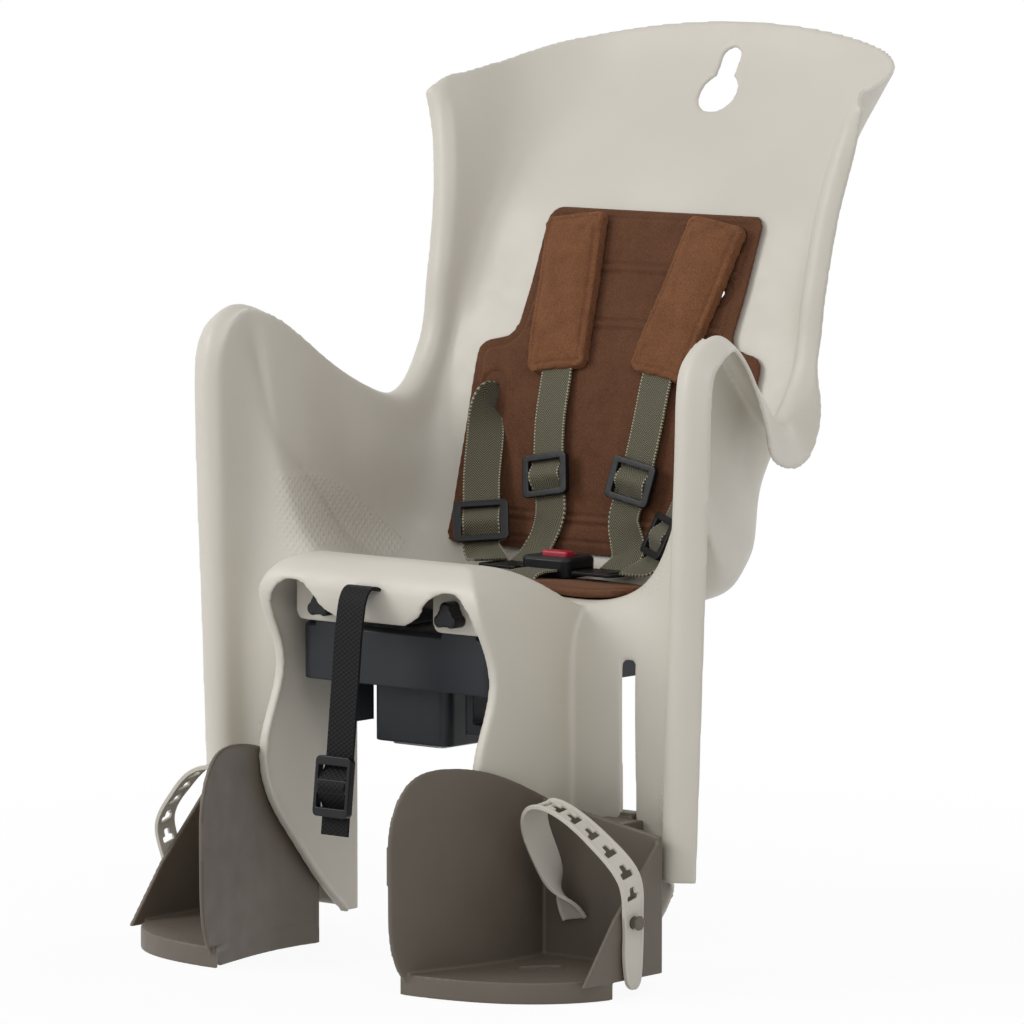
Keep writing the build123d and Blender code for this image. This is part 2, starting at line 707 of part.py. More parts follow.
def shoulder_pad():
    """Padded sleeve round the shoulder strap."""
    run = strap_run((0.0, 0.25, 0.5, 0.75, 1.0))
    under = (WEB_THICK - SHOULDER_PAD_THICK) / 2
    sleeve = ribbon(run, SHOULDER_PAD_WIDTH, SHOULDER_PAD_THICK, under)
    middle = band_frame(run, 2)
    outline = RectangleRounded(SHOULDER_PAD_WIDTH, SHOULDER_PAD_LENGTH, 9)
    sleeve = sleeve & extrude(middle * outline, amount=40, both=True)
    return sleeve - ribbon(shoulder_path(), WEB_WIDTH + 2, WEB_THICK + 2 * FIT, -FIT)


# Buckle

def buckle_housing():
    """Buckle body with side mouths for the tongues and a window for the button."""
    low, high = BUCKLE_BASE, BUCKLE_BASE + BUCKLE_THICK
    body = extrude(RectangleRounded(BUCKLE_WIDTH, BUCKLE_LENGTH, 7), amount=BUCKLE_THICK)
    body = Pos(0, BUCKLE_Y, low) * chamfer(body.edges().group_by(Axis.Z)[-1], 2.0)
    half = BUCKLE_WIDTH / 2 - BUCKLE_WALL
    deep = BUCKLE_LENGTH / 2 - BUCKLE_WALL
    body -= box(-half, half, BUCKLE_Y - deep, BUCKLE_Y + deep, low + BUCKLE_WALL, high - BUCKLE_WALL)
    mouth = TONGUE_WIDTH / 2 + FIT
    body -= box(-60, 60, BUCKLE_Y - mouth, BUCKLE_Y + mouth, TONGUE_Z - FIT, TONGUE_Z + TONGUE_THICK + FIT)
    window = RectangleRounded(BUTTON_WIDTH + 2 * FIT, BUTTON_LENGTH + 2 * FIT, 2)
    return body - Pos(0, BUCKLE_Y, high - 2 * BUCKLE_WALL) * extrude(window, amount=3 * BUCKLE_WALL)


def buckle_button():
    """Red release button with a hidden flange that keeps it in."""
    roof = BUCKLE_BASE + BUCKLE_THICK - BUCKLE_WALL
    stem = extrude(RectangleRounded(BUTTON_WIDTH, BUTTON_LENGTH, 2), amount=BUCKLE_WALL + BUTTON_RISE)
    stem = chamfer(stem.edges().group_by(Axis.Z)[-1], 1.0)
    stem += Pos(0, 0, -1) * Box(BUTTON_WIDTH - 4, BUTTON_LENGTH - 4, 2)
    flange = Pos(0, 0, -1.2 - FIT) * Box(BUTTON_WIDTH + 4, BUTTON_LENGTH + 4, 2)
    return Pos(0, BUCKLE_Y, roof) * (stem + flange)


def buckle_spring():
    """Leaf spring under the button."""
    floor = BUCKLE_BASE + BUCKLE_WALL
    top = BUCKLE_BASE + BUCKLE_THICK - BUCKLE_WALL - 2.2 - 2 * FIT
    outer = ThreePointArc((-8, floor), (0, top), (8, floor))
    inner = ThreePointArc((7.2, floor), (0, top - 0.7), (-7.2, floor))
    feet = Line((8, floor), (7.2, floor)) + Line((-7.2, floor), (-8, floor))
    return front_plate(make_face(outer + feet + inner), BUCKLE_Y - 3, BUCKLE_Y + 3)


def buckle_tongue():
    """Flat tongue with a slit at its outer end for the hip webbing."""
    x0 = BUCKLE_WIDTH / 2 - TONGUE_GRIP
    x1 = x0 + TONGUE_LENGTH
    neck = BUCKLE_WIDTH / 2 + 4
    rear = BUCKLE_Y + TONGUE_WIDTH / 2
    front = BUCKLE_Y - WEB_WIDTH / 2
    blade = box(x0, neck, BUCKLE_Y - TONGUE_WIDTH / 2, rear, 0, TONGUE_THICK)
    head = box(neck, x1, front - 4, rear, 0, TONGUE_THICK)
    tongue = blade + head
    tongue = fillet(tongue.edges().filter_by(Axis.Z).sort_by(Axis.X)[-2:], 5)
    tongue -= box(x1 - 9, x1 - 4, front + 1, rear - 3, -1, TONGUE_THICK + 1)
    tongue -= box(x0 + 3, x0 + 9, BUCKLE_Y - 4, BUCKLE_Y + 4, -1, TONGUE_THICK + 1)
    return Pos(0, 0, TONGUE_Z) * tongue


# Carrier mount

def mount_block():
    """Block on the carrier with the lower step, jaw slots, screw holes and lugs for the knob studs."""
    block = box(-BLOCK_HALF, BLOCK_HALF, BLOCK_FRONT, BLOCK_REAR, 0, BLOCK_TOP)
    block = fillet(block.edges().filter_by(Axis.Z), 10)
    block = chamfer(block.edges().group_by(Axis.Z)[-1], 3)
    step = box(-STEP_HALF, STEP_HALF, STEP_FRONT, STEP_REAR, STEP_BOTTOM, 0)
    block += fillet(step.edges().filter_by(Axis.Z), 8)
    for side in (-1, 1):
        x = side * KNOB_X
        half = 4 * STUD_RADIUS
        block += box(x - half, x + half, BLOCK_FRONT, BLOCK_FRONT + 14, BLOCK_TOP - 10, KNOB_Z + half)
        block -= Pos(x, BLOCK_FRONT, KNOB_Z) * Rot(90, 0, 0) * Cylinder(STUD_RADIUS + FIT, 16 * LUG_THICK)
        slot_x = side * JAW_X
        wide = JAW_WEB / 2 + JAW_TRAVEL + FIT
        block -= box(slot_x - wide, slot_x + wide, JAW_FRONT - FIT, JAW_REAR + FIT, -1, JAW_CARRIAGE + FIT)
        hole = Rot(0, 90, 0) * Cylinder(SCREW_RADIUS + FIT, 60)
        block -= Pos(side * BLOCK_HALF, JAW_MIDDLE, JAW_CARRIAGE / 2) * hole
    inside = JAW_X - JAW_WEB / 2 - JAW_TRAVEL - BLOCK_WALL
    front = BLOCK_FRONT + 14 + BLOCK_WALL
    rear = BLOCK_REAR - BLOCK_WALL
    wide = BLOCK_HALF - BLOCK_WALL
    block -= box(-inside, inside, front, rear, BLOCK_WALL, BLOCK_TOP + 1)
    block -= box(-wide, wide, front, rear, JAW_CARRIAGE + BLOCK_WALL, BLOCK_TOP + 1)
    half = STEP_HALF - BLOCK_WALL
    front = STEP_FRONT + BLOCK_WALL
    rear = STEP_REAR - BLOCK_WALL
    return block - box(-half, half, front, rear, STEP_BOTTOM + BLOCK_WALL, BLOCK_TOP)


def mount_plate():
    """Steel plate under the step."""
    plate = RectangleRounded(2 * PLATE_HALF, STEP_REAR - STEP_FRONT - 16, 5)
    plate -= Locations((0, -50), (0, 50)) * Circle(4)
    middle = (STEP_REAR + STEP_FRONT) / 2
    return Pos(0, middle, STEP_BOTTOM - PLATE_THICK) * extrude(plate, amount=PLATE_THICK)


def jaw():
    """Sliding jaw: carriage in the block and two hanging fingers with toothed lips."""
    x0 = JAW_X - JAW_WEB / 2
    x1 = JAW_X + JAW_WEB / 2
    piece = box(x0, x1, JAW_FRONT, JAW_REAR, 0, JAW_CARRIAGE)
    for y in (JAW_FRONT, JAW_REAR - JAW_FINGER):
        piece += box(x0, x1, y, y + JAW_FINGER, -JAW_DEPTH, 0)
        piece += box(x1, x1 + JAW_LIP, y, y + JAW_FINGER, -JAW_DEPTH, -JAW_DEPTH + JAW_WEB)
        pitch = JAW_LIP / JAW_TEETH
        for k in range(JAW_TEETH):
            tooth = Polygon((0, 0), (pitch, 0), (pitch / 2, pitch * 0.8), align=None)
            tooth = front_plate(tooth, y, y + JAW_FINGER)
            piece += Pos(x1 + k * pitch, 0, -JAW_DEPTH + JAW_WEB) * tooth
    hole = Rot(0, 90, 0) * Cylinder(SCREW_RADIUS + FIT, 40)
    return piece - Pos(JAW_X, JAW_MIDDLE, JAW_CARRIAGE / 2) * hole


def jaw_screw():
    """Screw that draws the jaw sideways, with a socket head outside the block."""
    start = JAW_X - JAW_WEB / 2 - JAW_TRAVEL + FIT
    length = BLOCK_HALF + FIT - start
    along = Plane((start, JAW_MIDDLE, JAW_CARRIAGE / 2), z_dir=(1, 0, 0))
    shaft = extrude(along * Circle(SCREW_RADIUS), amount=length + 1)
    head = extrude(along.offset(length) * (Circle(SCREW_HEAD) - RegularPolygon(2.6, 6)), amount=5)
    return shaft + head


def knob():
    """Three-lobed hand knob with its stud."""
    outline = Circle(KNOB_REACH + 1)
    for k in range(3):
        a = radians(90 + 120 * k)
        outline += Pos(KNOB_REACH * cos(a), KNOB_REACH * sin(a)) * Circle(KNOB_LOBE)
    outline = fillet(outline.vertices(), 2.0)
    seat = BLOCK_FRONT - LUG_THICK - FIT
    plane = Plane((KNOB_X, seat, KNOB_Z), x_dir=(1, 0, 0), z_dir=(0, -1, 0))
    body = extrude(plane * outline, amount=KNOB_THICK)
    body = chamfer(body.edges().group_by(Axis.Y)[0], 1.5)
    stud = extrude(plane * Circle(STUD_RADIUS), amount=-STUD_LENGTH)
    return body + stud


# Footrests

def inner_line():
    """Plan line of the footrest's inner wall, bent inwards in front of the leg guard."""
    return [
        (FOOT_INNER, FOOT_HEEL),
        (FOOT_INNER, LEG_KNEE_Y + 6),
        (FOOT_INNER - 0.5 * FOOT_TOE_IN, (LEG_KNEE_Y + FOOT_FRONT) / 2),
        (FOOT_INNER - FOOT_TOE_IN, FOOT_FRONT),
    ]


def toe_line():
    """Front edge of the footrest floor from the inner wall to the outer side."""
    start = FOOT_INNER - FOOT_TOE_IN
    wide = FOOT_OUTER - start
    deep = FOOT_SIDE_FRONT + 32 - FOOT_TOE_Y
    return [
        (start, FOOT_TOE_Y),
        (start + wide * 0.33, FOOT_TOE_Y + deep * 0.05),
        (start + wide * 0.66, FOOT_TOE_Y + deep * 0.24),
        (start + wide * 0.89, FOOT_TOE_Y + deep * 0.58),
        (FOOT_OUTER, FOOT_TOE_Y + deep),
    ]


def inner_wall(low):
    """Tall inner wall of the footrest with a rounded front."""
    line = inner_line()
    shifted = [(x + FOOT_WALL, y) for x, y in line]
    ends = Line(line[-1], shifted[-1]) + Line(shifted[0], line[0])
    plan = Spline(*line) + ends + Spline(*reversed(shifted))
    strip = Pos(0, 0, low) * extrude(make_face(plan), amount=FOOT_TOP_FRONT - low + 10)
    toe = FOOT_FRONT
    front = [
        (FOOT_TOE_Y + 12, low),
        (FOOT_TOE_Y - 4, low + 14),
        (toe, (FOOT_TOP_FRONT + low) / 2),
        (toe + 4, FOOT_TOP_FRONT - 30),
        (toe + 22, FOOT_TOP_FRONT - 5),
        (toe + 50, FOOT_TOP_FRONT),
        ((toe + 50 + FOOT_HEEL) / 2, (FOOT_TOP_FRONT + FOOT_TOP_HEEL) / 2 + 5),
        (FOOT_HEEL, FOOT_TOP_HEEL),
    ]
    outline = make_face(Spline(*front) + Polyline(front[-1], (FOOT_HEEL, low), front[0]))
    return strip & side_plate(outline, 0, FOOT_OUTER)


def footrest():
    """Footrest: tall inner wall, floor with a turned-down toe lip, heel wall, outer gusset and guide."""
    low = FOOT_FLOOR - FOOT_WALL
    toe = toe_line()
    inner = inner_line()[:-1]
    sides = Spline(toe[0], *reversed(inner)) + Spline(*toe)
    plan = sides + Polyline(toe[-1], (FOOT_OUTER, FOOT_HEEL), inner[0])
    floor = extrude(make_face(plan), amount=FOOT_WALL)
    for x, y in ((0.36, 0.34), (0.28, -0.1)):
        at = Pos(FOOT_INNER + x * (FOOT_OUTER - FOOT_INNER), FOOT_HEEL + y * (FOOT_FRONT - FOOT_HEEL))
        floor -= at * extrude(SlotOverall(36, 15, rotation=55), amount=FOOT_WALL)
    lip = extrude(make_face(plan), amount=-FOOT_LIP)
    lip -= Pos(-FOOT_WALL, FOOT_WALL, -FOOT_LIP) * extrude(make_face(plan), amount=FOOT_LIP)
    lip -= box(0, FOOT_OUTER + 20, toe[-1][1], 0, -FOOT_LIP, 0)
    lip -= box(0, FOOT_INNER + FOOT_WALL, LEG_KNEE_Y - 30, 0, -FOOT_LIP, 0)
    piece = Pos(0, 0, low) * (floor + lip) + inner_wall(low - FOOT_LIP)
    heel = [
        (FOOT_INNER, low),
        (FOOT_INNER, FOOT_TOP_HEEL),
        (FOOT_OUTER, FOOT_SIDE_TOP),
        (FOOT_OUTER, low),
    ]
    piece += front_plate(make_face(Polyline(*heel, close=True)), FOOT_HEEL - FOOT_WALL, FOOT_HEEL)
    gusset = [
        (FOOT_HEEL, low),
        (FOOT_HEEL, FOOT_SIDE_TOP),
        ((FOOT_HEEL + FOOT_SIDE_FRONT) / 2 - 9, (FOOT_SIDE_TOP + FOOT_FLOOR) / 2 - 6),
        (FOOT_SIDE_FRONT, low),
    ]
    piece += side_plate(make_face(Polyline(*gusset, close=True)), FOOT_OUTER - FOOT_WALL, FOOT_OUTER)
    rear = LEG_BACK_Y + WALL + FIT
    bottom = LEG_SLOT_TOP - LEG_SLOT_LENGTH + FIT
    half = GUIDE_WIDTH / 2
    under = bottom - 40
    top = under + GUIDE_HEIGHT
    back = LEG_BACK_Y - 3
    guide = box(LEG_SLOT_X - half, LEG_SLOT_X + half, FOOT_HEEL, back, under, top)
    half -= FOOT_WALL
    top -= FOOT_WALL
    back -= FOOT_WALL
    guide -= box(LEG_SLOT_X - half, LEG_SLOT_X + half, FOOT_HEEL, back, under - 1, top)
    piece += guide
    neck = LEG_SLOT_WIDTH / 2 - FIT
    piece += box(LEG_SLOT_X - neck, LEG_SLOT_X + neck, LEG_BACK_Y - 3, rear, bottom, bottom + CATCH_HEIGHT)
    piece += box(LEG_SLOT_X - 12, LEG_SLOT_X + 12, rear, rear + CATCH_HEAD, bottom, bottom + CATCH_HEIGHT)
    peg = Pos(FOOT_OUTER, PEG_Y, PEG_Z) * Rot(0, 90, 0)
    piece += peg * Pos(0, 0, 4) * Cylinder(PEG_RADIUS, 8)
    return piece + peg * Pos(0, 0, 8) * Cylinder(PEG_RADIUS + 1.5, 2)


def foot_path():
    """Rubber strap over the foot, from the heel wall to the peg and its free tail."""
    out = FOOT_OUTER + 0.6
    points = [
        Vector(FOOT_INNER + 36, FOOT_HEEL - FOOT_WALL - 2.4, PEG_Z - 8),
        Vector(FOOT_INNER + 30, PEG_Y + 10, PEG_Z + 30),
        Vector(FOOT_INNER + 32, PEG_Y - 10, PEG_Z + 62),
        Vector(FOOT_INNER + 45, PEG_Y - 20, PEG_Z + 79),
        Vector(FOOT_INNER + 66, PEG_Y - 20, PEG_Z + 76),
        Vector(FOOT_INNER + 91, PEG_Y - 14, PEG_Z + 58),
        Vector(out + 2, PEG_Y - 7, PEG_Z + 32),
        Vector(out, PEG_Y, PEG_Z),
        Vector(out + 0.6, PEG_Y - 1, PEG_Z - 24),
        Vector(out + 1.2, PEG_Y - 1, PEG_Z - 48),
    ]
    centre = Vector(FOOT_INNER + 58, PEG_Y, PEG_Z)
    facing = [Vector(0, -1, 0.2)]
    for p in points[1:7]:
        facing.append(Vector(p.X - centre.X, -12, p.Z - centre.Z).normalized())
    return points, facing + [Vector(1, 0, 0)] * 3


def foot_strap():
    """Rubber strap with its row of holes."""
    path = foot_path()
    strap = ribbon(path, FOOT_STRAP_WIDTH, FOOT_STRAP_THICK)
    for i in range(FOOT_STRAP_HOLES):
        t = 3.4 + 3.0 * i / (FOOT_STRAP_HOLES - 1)
        strap -= extrude(band_frame(path, t) * SlotOverall(11, 5), amount=6, both=True)
    hole = Rot(0, 90, 0) * Cylinder(PEG_RADIUS + FIT, 30)
    return strap - Pos(FOOT_OUTER, PEG_Y, PEG_Z) * hole


# Pieces by name; the left one of a pair is on the child's left

WEB_SLIDE = slide_frame(GLIDE_WIDTH, GLIDE_LENGTH, GLIDE_THICK, WEB_WIDTH + 2)
LOCK = slide_frame(LOCK_WIDTH, LOCK_LENGTH, LOCK_THICK, FRAME_STRAP_WIDTH + 2)

LEFT = {
    "shoulder_pad": shoulder_pad(),
    "shoulder_strap": ribbon(shoulder_path(), WEB_WIDTH, WEB_THICK),
    "shoulder_slide": slide_on(shoulder_path(), 8, WEB_THICK, WEB_SLIDE),
    "hip_strap": ribbon(hip_path(), WEB_WIDTH, WEB_THICK),
    "hip_slide": slide_on(hip_path(), 3.85, WEB_THICK, WEB_SLIDE),
    "buckle_tongue": buckle_tongue(),
    "jaw": jaw(),
    "jaw_screw": jaw_screw(),
    "knob": knob(),
    "footrest": footrest(),
    "foot_strap": foot_strap(),
}
PIECES = {
    "seat_shell": seat_shell(),
    "back_pad": back_pad(),
    "seat_pad": seat_pad(),
    "buckle_housing": buckle_housing(),
    "buckle_button": buckle_button(),
    "buckle_spring": buckle_spring(),
    "crotch_strap": ribbon(crotch_path(), WEB_WIDTH, WEB_THICK),
    "frame_strap": ribbon(frame_path(), FRAME_STRAP_WIDTH, FRAME_STRAP_THICK, -FRAME_STRAP_THICK / 2),
    "ladder_lock": slide_on(frame_path(), 7, FRAME_STRAP_THICK / 2, LOCK),
    "mount_block": mount_block(),
    "mount_plate": mount_plate(),
}
for name, piece in LEFT.items():
    PIECES[name + "_left"] = piece
    PIECES[name + "_right"] = mirrored(piece)

os.makedirs("parts", exist_ok=True)
for name, piece in PIECES.items():
    export_step(piece, "parts/" + name + ".step")
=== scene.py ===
"""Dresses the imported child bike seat: moulded shell, pads, harness, carrier clamp and footrests.

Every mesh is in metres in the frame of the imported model: +Z up, the child faces -Y, the child's left is +X.
"""

import json
import logging
import math
from collections.abc import Callable, Iterable
from dataclasses import dataclass, field
from enum import Enum

import bpy
import numpy as np
from mathutils import Matrix, Vector, kdtree

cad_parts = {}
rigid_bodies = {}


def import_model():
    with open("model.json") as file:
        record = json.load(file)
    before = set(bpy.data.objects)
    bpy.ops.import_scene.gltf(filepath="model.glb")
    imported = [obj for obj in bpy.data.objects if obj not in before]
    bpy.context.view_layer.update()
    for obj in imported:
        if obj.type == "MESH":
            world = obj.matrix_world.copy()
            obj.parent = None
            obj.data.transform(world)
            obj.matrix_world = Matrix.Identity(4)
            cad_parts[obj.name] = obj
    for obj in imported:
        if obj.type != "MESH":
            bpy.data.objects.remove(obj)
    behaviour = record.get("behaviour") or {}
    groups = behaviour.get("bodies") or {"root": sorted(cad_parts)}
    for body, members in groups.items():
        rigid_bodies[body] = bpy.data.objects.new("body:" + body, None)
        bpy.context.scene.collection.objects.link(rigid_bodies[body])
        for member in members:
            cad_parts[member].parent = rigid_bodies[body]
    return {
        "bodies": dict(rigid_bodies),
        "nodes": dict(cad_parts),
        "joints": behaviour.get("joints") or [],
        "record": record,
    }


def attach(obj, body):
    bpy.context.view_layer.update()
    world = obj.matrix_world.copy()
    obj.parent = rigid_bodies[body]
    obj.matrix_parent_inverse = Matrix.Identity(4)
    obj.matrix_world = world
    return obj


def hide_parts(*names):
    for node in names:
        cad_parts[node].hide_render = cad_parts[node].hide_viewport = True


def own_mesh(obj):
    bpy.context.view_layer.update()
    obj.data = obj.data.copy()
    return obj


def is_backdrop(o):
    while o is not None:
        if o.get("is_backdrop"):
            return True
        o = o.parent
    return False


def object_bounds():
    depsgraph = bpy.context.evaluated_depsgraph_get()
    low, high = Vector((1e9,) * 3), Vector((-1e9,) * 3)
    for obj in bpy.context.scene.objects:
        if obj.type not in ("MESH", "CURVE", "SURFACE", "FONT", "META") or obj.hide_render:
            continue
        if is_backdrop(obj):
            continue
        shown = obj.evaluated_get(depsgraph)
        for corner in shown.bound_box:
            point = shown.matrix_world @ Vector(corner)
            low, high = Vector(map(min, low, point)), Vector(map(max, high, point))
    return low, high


LOG = logging.getLogger("child_bike_seat")
MM = 0.001
Triple = tuple[float, float, float]


class Side(Enum):
    """The child's left or right, with the sign of X there."""

    LEFT = 1
    RIGHT = -1

    @property
    def word(self) -> str:
        """Ending of the piece names on this side."""
        return self.name.lower()


# Bench tools

def pick(obj: bpy.types.Object) -> None:
    """Leaves one object selected and active.

    Args:
        obj: The object to work on.
    """
    if bpy.context.object and bpy.context.object.mode != "OBJECT":
        bpy.ops.object.mode_set(mode="OBJECT")
    bpy.ops.object.select_all(action="DESELECT")
    obj.select_set(True)
    bpy.context.view_layer.objects.active = obj


def finish_modifier(obj: bpy.types.Object, kind: str, **settings: object) -> None:
    """Adds a modifier, sets it and applies it.

    Args:
        obj: The object to change.
        kind: Blender's name of the modifier type.
        settings: Values of the modifier's properties.
    """
    pick(obj)
    modifier = obj.modifiers.new(kind.lower(), kind)
    for key, value in settings.items():
        setattr(modifier, key, value)
    bpy.ops.object.modifier_apply(modifier=modifier.name)


def twin(node: bpy.types.Object, name: str) -> bpy.types.Object:
    """Copies a CAD node's mesh into a new object and merges its loose triangles.

    Args:
        node: The CAD node.
        name: Name of the new piece.

    Returns:
        The new object.
    """
    obj = bpy.data.objects.new(name, node.data.copy())
    bpy.context.scene.collection.objects.link(obj)
    obj.data.materials.clear()
    pick(obj)
    bpy.ops.object.mode_set(mode="EDIT")
    bpy.ops.mesh.select_all(action="SELECT")
    bpy.ops.mesh.remove_doubles(threshold=0.005 * MM)
    bpy.ops.object.mode_set(mode="OBJECT")
    return obj


def smooth(obj: bpy.types.Object, degrees: float = 35.0) -> None:
    """Shades an object smooth except at edges sharper than an angle.

    Args:
        obj: The object to shade.
        degrees: The angle.
    """
    pick(obj)
    bpy.ops.object.shade_smooth_by_angle(angle=math.radians(degrees))


@dataclass(frozen=True)
class Rounding:
    """How a moulding's edges are softened.

    The values are the spacing of an even mesh, the rounds of smoothing and the most triangles left.
    """

    voxel_mm: float = 0.6
    rounds: int = 6
    triangles: int = 16000

    def apply(self, obj: bpy.types.Object) -> None:
        """Remeshes a solid evenly, smooths its edges round and thins the mesh where it is flat.

        Args:
            obj: The solid.
        """
        finish_modifier(obj, "REMESH", mode="VOXEL", voxel_size=self.voxel_mm * MM)
        finish_modifier(obj, "SMOOTH", factor=0.5, iterations=self.rounds)
        count = sum(len(face.vertices) - 2 for face in obj.data.polygons)
        finish_modifier(obj, "DECIMATE", ratio=min(1.0, self.triangles / count))
        pick(obj)
        bpy.ops.object.shade_smooth()


def triples(rows: bpy.types.bpy_prop_collection, name: str) -> np.ndarray:
    """Reads one property of three numbers from all vertices or faces.

    Args:
        rows: A mesh's vertices or polygons.
        name: The property.

    Returns:
        One row of three numbers for each vertex or face.
    """
    flat = np.zeros(3 * len(rows), np.float32)
    rows.foreach_get(name, flat)
    return flat.reshape(-1, 3).astype(float)


def coordinates(obj: bpy.types.Object) -> np.ndarray:
    """Gives the places of an object's vertices.

    Args:
        obj: A mesh object.

    Returns:
        One row of three numbers for each vertex.
    """
    return triples(obj.data.vertices, "co")


def normals(obj: bpy.types.Object) -> np.ndarray:
    """Gives the normals of an object's vertices.

    Args:
        obj: A mesh object.

    Returns:
        One row of three numbers for each vertex.
    """
    return triples(obj.data.vertices, "normal")


def move_to(obj: bpy.types.Object, places: np.ndarray) -> None:
    """Sets the places of an object's vertices.

    Args:
        obj: A mesh object.
        places: One row of three numbers for each vertex.
    """
    obj.data.vertices.foreach_set("co", places.astype(np.float32).ravel())
    obj.data.update()


def linear(code: str, alpha: float = 1.0) -> tuple[float, float, float, float]:
    """Turns an sRGB hex colour to linear values.

    Args:
        code: Six hex digits after a hash sign.
        alpha: Opacity.

    Returns:
        Red, green, blue and alpha.
    """
    parts = [int(code[i:i + 2], 16) / 255 for i in (1, 3, 5)]
    red, green, blue = [c / 12.92 if c <= 0.04045 else ((c + 0.055) / 1.055) ** 2.4 for c in parts]
    return red, green, blue, alpha


def add(
    tree: bpy.types.NodeTree, kind: str, inputs: dict | None = None, **settings: object
) -> bpy.types.Node:
    """Adds a node, sets its properties and fills or links its inputs.

    Args:
        tree: The node tree.
        kind: The node's type after "ShaderNode".
        inputs: Input names or numbers, each with a value or with the output socket that feeds it.
        settings: Values of the node's own properties.

    Returns:
        The node.
    """
    node = tree.nodes.new("ShaderNode" + kind)
    for key, value in settings.items():
        setattr(node, key, value)
    for key, value in (inputs or {}).items():
        socket = node.inputs[key]
        if isinstance(value, bpy.types.NodeSocket):
            tree.links.new(value, socket)
        else:
            socket.default_value = value
    return node


def calc(
    tree: bpy.types.NodeTree, operation: str, first: object, second: object = None
) -> bpy.types.NodeSocket:
    """Adds a calculation.

    Args:
        tree: The node tree.
        operation: Blender's name of the operation.
        first: A number or the socket that gives it.
        second: The same for the second number, if there is one.

    Returns:
        The socket with the result.
    """
    inputs = {0: first} if second is None else {0: first, 1: second}
    return add(tree, "Math", inputs, operation=operation).outputs["Value"]


def sine(tree: bpy.types.NodeTree, value: bpy.types.NodeSocket, pitch_mm: float) -> bpy.types.NodeSocket:
    """Gives a sine wave.

    Args:
        tree: The node tree.
        value: The socket that gives the distance, in metres.
        pitch_mm: Length of one wave.

    Returns:
        The socket with the wave, from -1 to 1.
    """
    return calc(tree, "SINE", calc(tree, "MULTIPLY", value, 2 * math.pi / (pitch_mm * MM)))


def surface(
    tree: bpy.types.NodeTree, height: bpy.types.NodeSocket, strength: float, depth_mm: float, inputs: dict
) -> None:
    """Adds the relief, the shader and the output of a material.

    Args:
        tree: The node tree.
        height: The socket that gives the relief's height.
        strength: Strength of the relief.
        depth_mm: Depth of the relief for a height of 1.
        inputs: The shader's other inputs.
    """
    relief = add(tree, "Bump", {"Height": height, "Strength": strength, "Distance": depth_mm * MM})
    shader = add(tree, "BsdfPrincipled", {"Normal": relief.outputs["Normal"], **inputs})
    add(tree, "OutputMaterial", {"Surface": shader.outputs["BSDF"]})


def seen_directly(tree: bpy.types.NodeTree) -> bpy.types.NodeSocket:
    """Gives 1 for what the camera sees, straight, mirrored or through a clear piece, and 0 for soft light."""
    path = add(tree, "LightPath")
    seen = path.outputs["Is Camera Ray"]
    for name in ("Is Glossy Ray", "Is Transmission Ray"):
        seen = calc(tree, "MAXIMUM", seen, path.outputs[name])
    return seen


def bands(
    tree: bpy.types.NodeTree, value: bpy.types.NodeSocket, stops: Iterable[tuple[float, str]]
) -> bpy.types.Node:
    """Colours a value by a row of stops.

    Args:
        tree: The node tree.
        value: The socket that gives the value.
        stops: Positions from 0 to 1, each with a hex colour.

    Returns:
        The colour ramp node.
    """
    ramp = add(tree, "ValToRGB", {"Fac": value})
    elements = ramp.color_ramp.elements
    stops = list(stops)
    while len(elements) < len(stops):
        elements.new(1.0)
    for element, (place, code) in zip(elements, stops):
        element.position = place
        element.color = linear(code)
    return ramp


def new_material(name: str) -> tuple[bpy.types.Material, bpy.types.NodeTree]:
    """Starts an empty node material.

    Args:
        name: The material's name.

    Returns:
        The material and its node tree.
    """
    material = bpy.data.materials.new(name)
    material.use_nodes = True
    material.node_tree.nodes.clear()
    return material, material.node_tree


# Finishes

@dataclass(frozen=True)
class MouldedPlastic:
    """Injection-moulded polyolefin: one colour right through, a soft sheen and a fine spark-eroded grain.

    The grain of about 0.4 mm is drawn coarser, so that it shows. Colour and gloss drift slightly.
    """

    name: str
    colour: str
    drift: str
    roughness: float = 0.42
    grain_mm: float = 1.1
    grain_depth_mm: float = 0.05
    drift_mm: float = 120.0
    gloss_mm: float = 14.0
    shine: float = 0.5

    def height(self, tree: bpy.types.NodeTree, place: bpy.types.NodeSocket) -> bpy.types.NodeSocket:
        """Gives the height of the surface grain.

        Args:
            tree: The node tree.
            place: Object coordinates.

        Returns:
            A socket with a height from 0 to 1.
        """
        grain = add(tree, "TexNoise", {"Vector": place, "Scale": 1 / (self.grain_mm * MM), "Detail": 2.0})
        return grain.outputs["Fac"]

    def material(self) -> bpy.types.Material:
        """Makes the node material."""
        material, tree = new_material(self.name)
        place = add(tree, "TexCoord").outputs["Object"]
        tone = add(tree, "TexNoise", {"Vector": place, "Scale": 1 / (self.drift_mm * MM), "Detail": 3.0})
        colour = bands(tree, tone.outputs["Fac"], ((0.35, self.drift), (0.65, self.colour)))
        gloss = add(tree, "TexNoise", {"Vector": place, "Scale": 1 / (self.gloss_mm * MM), "Detail": 4.0})
        rough = add(tree, "MapRange", {
            "Value": gloss.outputs["Fac"],
            "From Min": 0.3,
            "From Max": 0.7,
            "To Min": self.roughness - 0.05,
            "To Max": self.roughness + 0.06,
        })
        surface(tree, self.height(tree, place), 0.5, self.grain_depth_mm, {
            "Base Color": colour.outputs["Color"],
            "Roughness": rough.outputs["Result"],
            "IOR": 1.49,
            "Specular IOR Level": self.shine,
        })
        return material


